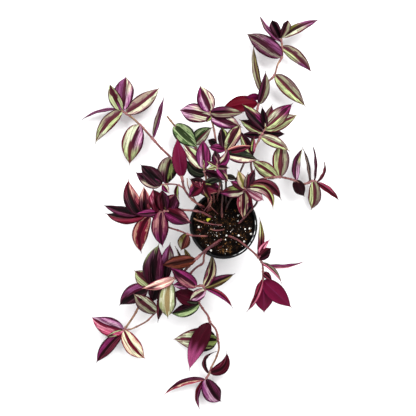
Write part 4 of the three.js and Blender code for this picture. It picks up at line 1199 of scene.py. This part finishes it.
        ((122, 110), (79, 123, 6), 14, "mauve", dict(arch=3, roll=60, bend=-8)),
        ((122, 111), (96, 143, 12), 23, "fresh|dusty>silver|fresh", dict(arch=6, bend=-5)),
        ((139, 125), (130, 164, 12), 36, "orchid|silver>fresh", dict(arch=5, bend=-4, peak=0.45)),
        ((152, 138), (164, 97, 20), 17, "sage|mauve>mauve", dict(arch=3, roll=60)),
    ]),
    "shoot_lower_left": dict(stems=[
        dict(radius=2.1, path=[(221, 239.5, 80), (214, 244, 95), (206, 250, 100.3), (196, 259, 97),
            (188, 267, 84), (180, 275, 70), (168, 281, 60), (156, 284, 53), (149, 287, 47),
            (142.5, 298, 37), (136, 312, 27), (129, 323, 21), (123, 331, 19)]),
        dict(radius=1.5, path=[(168, 281, 60), (168, 292, 45), (164, 302, 31), (159, 309, 22),
            (153, 315, 17), (147, 321, 14), (140, 325, 13), (131, 329, 16), (124, 330, 19)]),
    ], leaves=[
        ((196, 259), (163, 265, 79), 23, "dry", dict(arch=3, roll=-15, peak=0.5)),
        ((155, 284), (159, 245, 66), 36, "night|plum>fringed|plum", dict(arch=8, bend=4)),
        ((164, 283), (170, 244, 66), 21, "night>mauve|thistle", dict(arch=6, peak=0.6)),
        ((148, 288), (120, 305, 26), 31, "night|mauve>night|plum", dict(arch=8, bend=-4)),
        ((152, 285), (135, 271, 40), 25, "fresh|laced", dict(arch=4, peak=0.5)),
        ((175, 279), (143, 288, 66), 17, "shell>rose|shell", dict(arch=5, bend=2)),
        ((166, 282), (158, 321, 26), 16, "night|burgundy", dict(arch=8)),
        ((124, 330), (92, 317, 10), 32, "pink|orchid", dict(arch=6, bend=3)),
        ((123, 331), (97, 362, 8), 22, "burgundy|magenta", dict(arch=6, bend=-3, peak=0.5)),
        ((124, 330), (145, 358, 8), 28, "ivory", dict(arch=6, bend=-3, peak=0.5)),
        ((123, 331), (106, 337, 28), 10, "laced", dict()),
        ((156, 312), (134, 294, 52), 26, "sage|silver", dict(arch=6, peak=0.5)),
        ((157, 284), (152, 302, 36), 22, "night", dict()),
        ((170, 281), (168, 317, 42), 30, "mint", dict(arch=10, peak=0.55, bend=-2)),
        ((191, 263), (184, 248, 84), 9, "olive", dict(roll=20)),
        ((181, 274), (175, 247, 82), 8, "sage|night", dict(roll=40, bend=-4)),
    ]),
    "shoot_bottom": dict(stems=[
        dict(radius=1.8, path=[(218, 243, 80), (213, 246, 91), (206, 251, 95.3), (204, 256, 94),
            (203, 263, 88), (197, 267, 82), (191, 273, 76), (188, 281, 70), (193, 286, 66),
            (203, 286, 63), (205, 292, 57), (199, 301, 48), (203, 309, 41), (208, 316, 35),
            (210, 322, 31), (216, 330, 26), (218, 340, 22), (219, 348, 20), (216, 358, 18),
            (212, 366, 16), (209, 374, 15), (205, 380, 15)]),
    ], leaves=[
        ((205, 286), (211, 254, 56), 18, "striped", dict(arch=5, bend=-6)),
        ((204, 287), (234, 274, 54), 17, "plum|olive", dict(arch=4)),
        ((205, 288), (232, 308, 44), 10, "ruby|magenta", dict(arch=4, bend=7)),
        ((205, 290), (190, 300, 66), 19, "orchid|cream", dict(arch=3, peak=0.5)),
        ((196, 286), (171, 268, 95), 24, "vine|magenta>plum|magenta", dict(arch=5)),
        ((190, 285), (173, 285, 76), 16, "orchid|magenta", dict(arch=3)),
        ((199, 301), (174, 292, 60), 27, "burgundy", dict(arch=6, roll=180, peak=0.5)),
        ((200, 303), (171, 313, 30), 22, "green|night", dict(arch=4, peak=0.5, bend=3)),
        ((199, 301), (184, 300, 54), 12, "deepGreen", dict(arch=2)),
        ((210, 323), (190, 369, 17), 30, "burgundy>orchid", dict(arch=9, roll=180, bend=-5)),
        ((217, 340), (174, 339, 3), 40, "mossy>silver", dict(arch=2, peak=0.36, fold=8)),
        ((209, 374), (217, 352, 26), 11, "burgundy|night", dict(roll=50, bend=15)),
        ((210, 372), (226, 352, 22), 20, "burgundy", dict(arch=3, bend=-11)),
        ((205, 380), (165, 395, 6), 15, "veiled|plum", dict(arch=3, roll=50, bend=-9)),
        ((205, 380), (201, 410, 6), 14, "magenta|ruby", dict(arch=3, roll=55, bend=-9)),
        ((206, 379), (221, 401, 8), 31, "plum|orchid", dict(arch=5, bend=-4, peak=0.55)),
    ]),
    "shoot_lower_right": dict(stems=[
        dict(radius=1.7, path=[(229, 236, 80), (238, 240, 90), (247, 247, 98), (253, 252, 96),
            (258, 257, 90), (262, 263, 80), (263, 272, 68), (263, 281, 60)]),
    ], leaves=[
        ((258, 258), (259.5, 219, 96), 13, "burgundy>fresh|olive", dict(arch=4, roll=30, bend=-3)),
        ((259, 259), (271, 248, 104), 17, "burgundy|night", dict(arch=2, roll=-20, peak=0.5)),
        ((259, 257), (270, 240, 106), 10, "pink", dict(bend=3)),
        ((262, 264), (304, 261, 58), 12, "magenta|pink", dict(arch=5, roll=50, bend=-5)),
        ((262, 262), (281, 283, 64), 8, "sage|pink", dict(arch=4, bend=5)),
        ((263, 280), (264, 312, 34), 31, "mauve", dict(arch=6, roll=180, peak=0.56)),
        ((263, 280), (291, 307, 38), 29, "mauve", dict(arch=6, roll=180, peak=0.42)),
        ((263, 279), (247, 311, 34), 12, "pink|ruby", dict(arch=5, roll=40, bend=3)),
        ((263, 272), (272, 280, 66), 11, "burgundy", dict()),
    ]),
}

# The material slot of the imported model for each shoot.
slots = {
    "leaf_striped": ("top_right", "upper_right", "right", "middle_right", "crown_right", "upper_left",
                     "lower_left"),
    "leaf_magenta": ("upper_middle", "middle", "middle_young", "bottom"),
    "leaf_green": ("green_pair",),
    "leaf_burgundy": ("crown_left", "left", "lower_right"),
}
slotOf = {"shoot_" + short: slot for slot, names in slots.items() for short in names}


def makeShoot(name, shoot, key):
    lines = [stemLine(stem) for stem in shoot["stems"]]
    seats = [seatOn(lines, leaf[0]) for leaf in shoot["leaves"]]
    grownStems, sleeves = [], []
    for index, (stem, (line, marks)) in enumerate(zip(shoot["stems"], lines)):
        own = [mark for owner, mark, _ in seats if owner == index and mark > sleeve["lowest"]]
        mouths = spaced(own, sleeve["apart"])
        joints = [mouth - sleeve["length"] for mouth in mouths]
        bare = [mark for mark in np.arange(stemForm["bareGap"], marks[-1], stemForm["bareGap"])
                if all(abs(mark - joint) > stemForm["bareGap"] / 2 for joint in joints)]
        radii = stemRadii(stem, marks, joints + bare)
        grownStems.append((line, radii))
        sleeves += [(line, marks, radii, mouth) for mouth in mouths]
    blades = [(seat[2], place(tip), width, look, lie)
              for seat, (_, tip, width, look, lie) in zip(seats, shoot["leaves"])]
    leaves = makeLeaves(name + "_leaves", blades, key)
    stems = makeStems(name + "_stems", grownStems)
    for piece in (leaves, stems, *makeSleeves(name, sleeves)):
        finishPiece(piece, slotOf[name], name)


for key, (name, shoot) in enumerate(shoots.items()):
    makeShoot(name, shoot, key)
print("shoots made:", len(shoots))


# Scraps that have dropped on the soil, and cut and fallen stems.

scrapForm = dict(arch=1.2, fold=25, rise=(0.8, 1.0))
scraps = [                                      # place, length, turn, width and look
    ((207, 219.8), 6, 20, 4, "leaflet"), ((208, 221), 4, 120, 3, "leaflet"), ((201, 231), 8, 140, 3, "umber"),
    ((222, 246), 8, 210, 3, "umber"), ((212, 209), 10, 200, 5, "umber"),
]
oldStems = [                                    # radius in mm and plan places
    dict(radius=1.5, path=[(222, 225, 81.5), (214, 224.5, 82), (206, 223, 83), (199, 221, 86),
        (193.5, 218.5, 90)]),
    dict(radius=1.4, path=[(224, 229.5, 81), (217, 230.5, 82), (210, 229, 82)]),
    dict(radius=0.9, path=[(204, 211, 98), (208, 206, 100), (211.5, 200, 103)]),
    dict(radius=0.8, path=[(218, 214, 81), (213, 209, 88), (209, 204, 94)]),
    dict(radius=1.1, path=[(203, 210, 84), (197, 203, 93), (191.5, 194, 97), (188, 186, 98), (187, 178, 97)]),
]


def makeScraps():
    leaves = []
    for spot, length, turn, width, look in scraps:
        x, y = over(*spot, soil["level"])
        angle = math.radians(turn)
        ends = ((x, y), (x + length * math.cos(angle), y + length * math.sin(angle)))
        points = [np.array((*end, soilHeight(*end) + rise)) for end, rise in zip(ends, scrapForm["rise"])]
        leaves.append((*points, width, look, dict(arch=scrapForm["arch"], fold=scrapForm["fold"])))
    finishPiece(makeLeaves("fallenScraps", leaves, len(shoots)), "soil")


def makeOldStems():                             # each with one swollen joint, halfway
    grownStems = []
    for stem in oldStems:
        line, marks = smoothLine([place(spot) for spot in stem["path"]])
        grownStems.append((line, stemRadii(stem, marks, [marks[-1] / 2])))
    finishPiece(makeStems("oldStems", grownStems), "soil")


makeScraps()
makeOldStems()
print("scraps made")


# The set: a pale floor, soft light from above and behind, and a camera straight above.

paleFloor = dict(size=4000, pale=(248, 248, 248), dull=(244, 244, 245), grit=500, blotch=6,
                 roughness=0.75, specular=0.2)
lamps = dict(                                   # place in metres, power and size
    keyLight=((0.5, 0.85, 1.3), 22, 0.8), secondLight=((-0.75, 0.55, 1.3), 9, 0.8))
view = dict(cameraHeight=1.35, lens=70.68, sensor=36, world=1.15)


def floorPaint():                               # plain and matt, hardly uneven
    material, tree = newMaterial("floorPaint")
    spots = grainNode(tree, paleFloor["grit"], paleFloor["blotch"])
    base = mixed(tree, spots["Blotch"], tint(*paleFloor["pale"]), tint(*paleFloor["dull"]))
    return coated(material, paleFloor, base, paleFloor["roughness"])


def addLamp(name, spot, power, size):           # a soft lamp that faces the pot
    light = bpy.data.lights.new(name, "AREA")
    light.energy = power
    light.size = size
    lamp = addObject(name, light)
    lamp.location = spot
    lamp.rotation_euler = (-Vector(spot)).to_track_quat("-Z", "Y").to_euler()


def makeSet():
    half = paleFloor["size"] / 2
    corners = [(-half, -half, 0), (half, -half, 0), (half, half, 0), (-half, half, 0)]
    addMesh("floor", corners, [(0, 1, 2, 3)], floorPaint(), smooth=False)
    for name, lamp in lamps.items():
        addLamp(name, *lamp)
    scene = bpy.context.scene
    world = bpy.data.worlds.new("paleRoom")
    world.use_nodes = True
    room = world.node_tree.nodes["Background"]
    room.inputs["Color"].default_value = (1, 1, 1, 1)
    room.inputs["Strength"].default_value = view["world"]
    scene.world = world
    camera = addObject("camera", bpy.data.cameras.new("camera"))
    camera.data.lens = view["lens"]
    camera.data.sensor_width = view["sensor"]
    camera.location = (eyeX * mm, eyeY * mm, view["cameraHeight"])
    scene.camera = camera
    scene.view_settings.view_transform = "Standard"


makeSet()
print("set made")
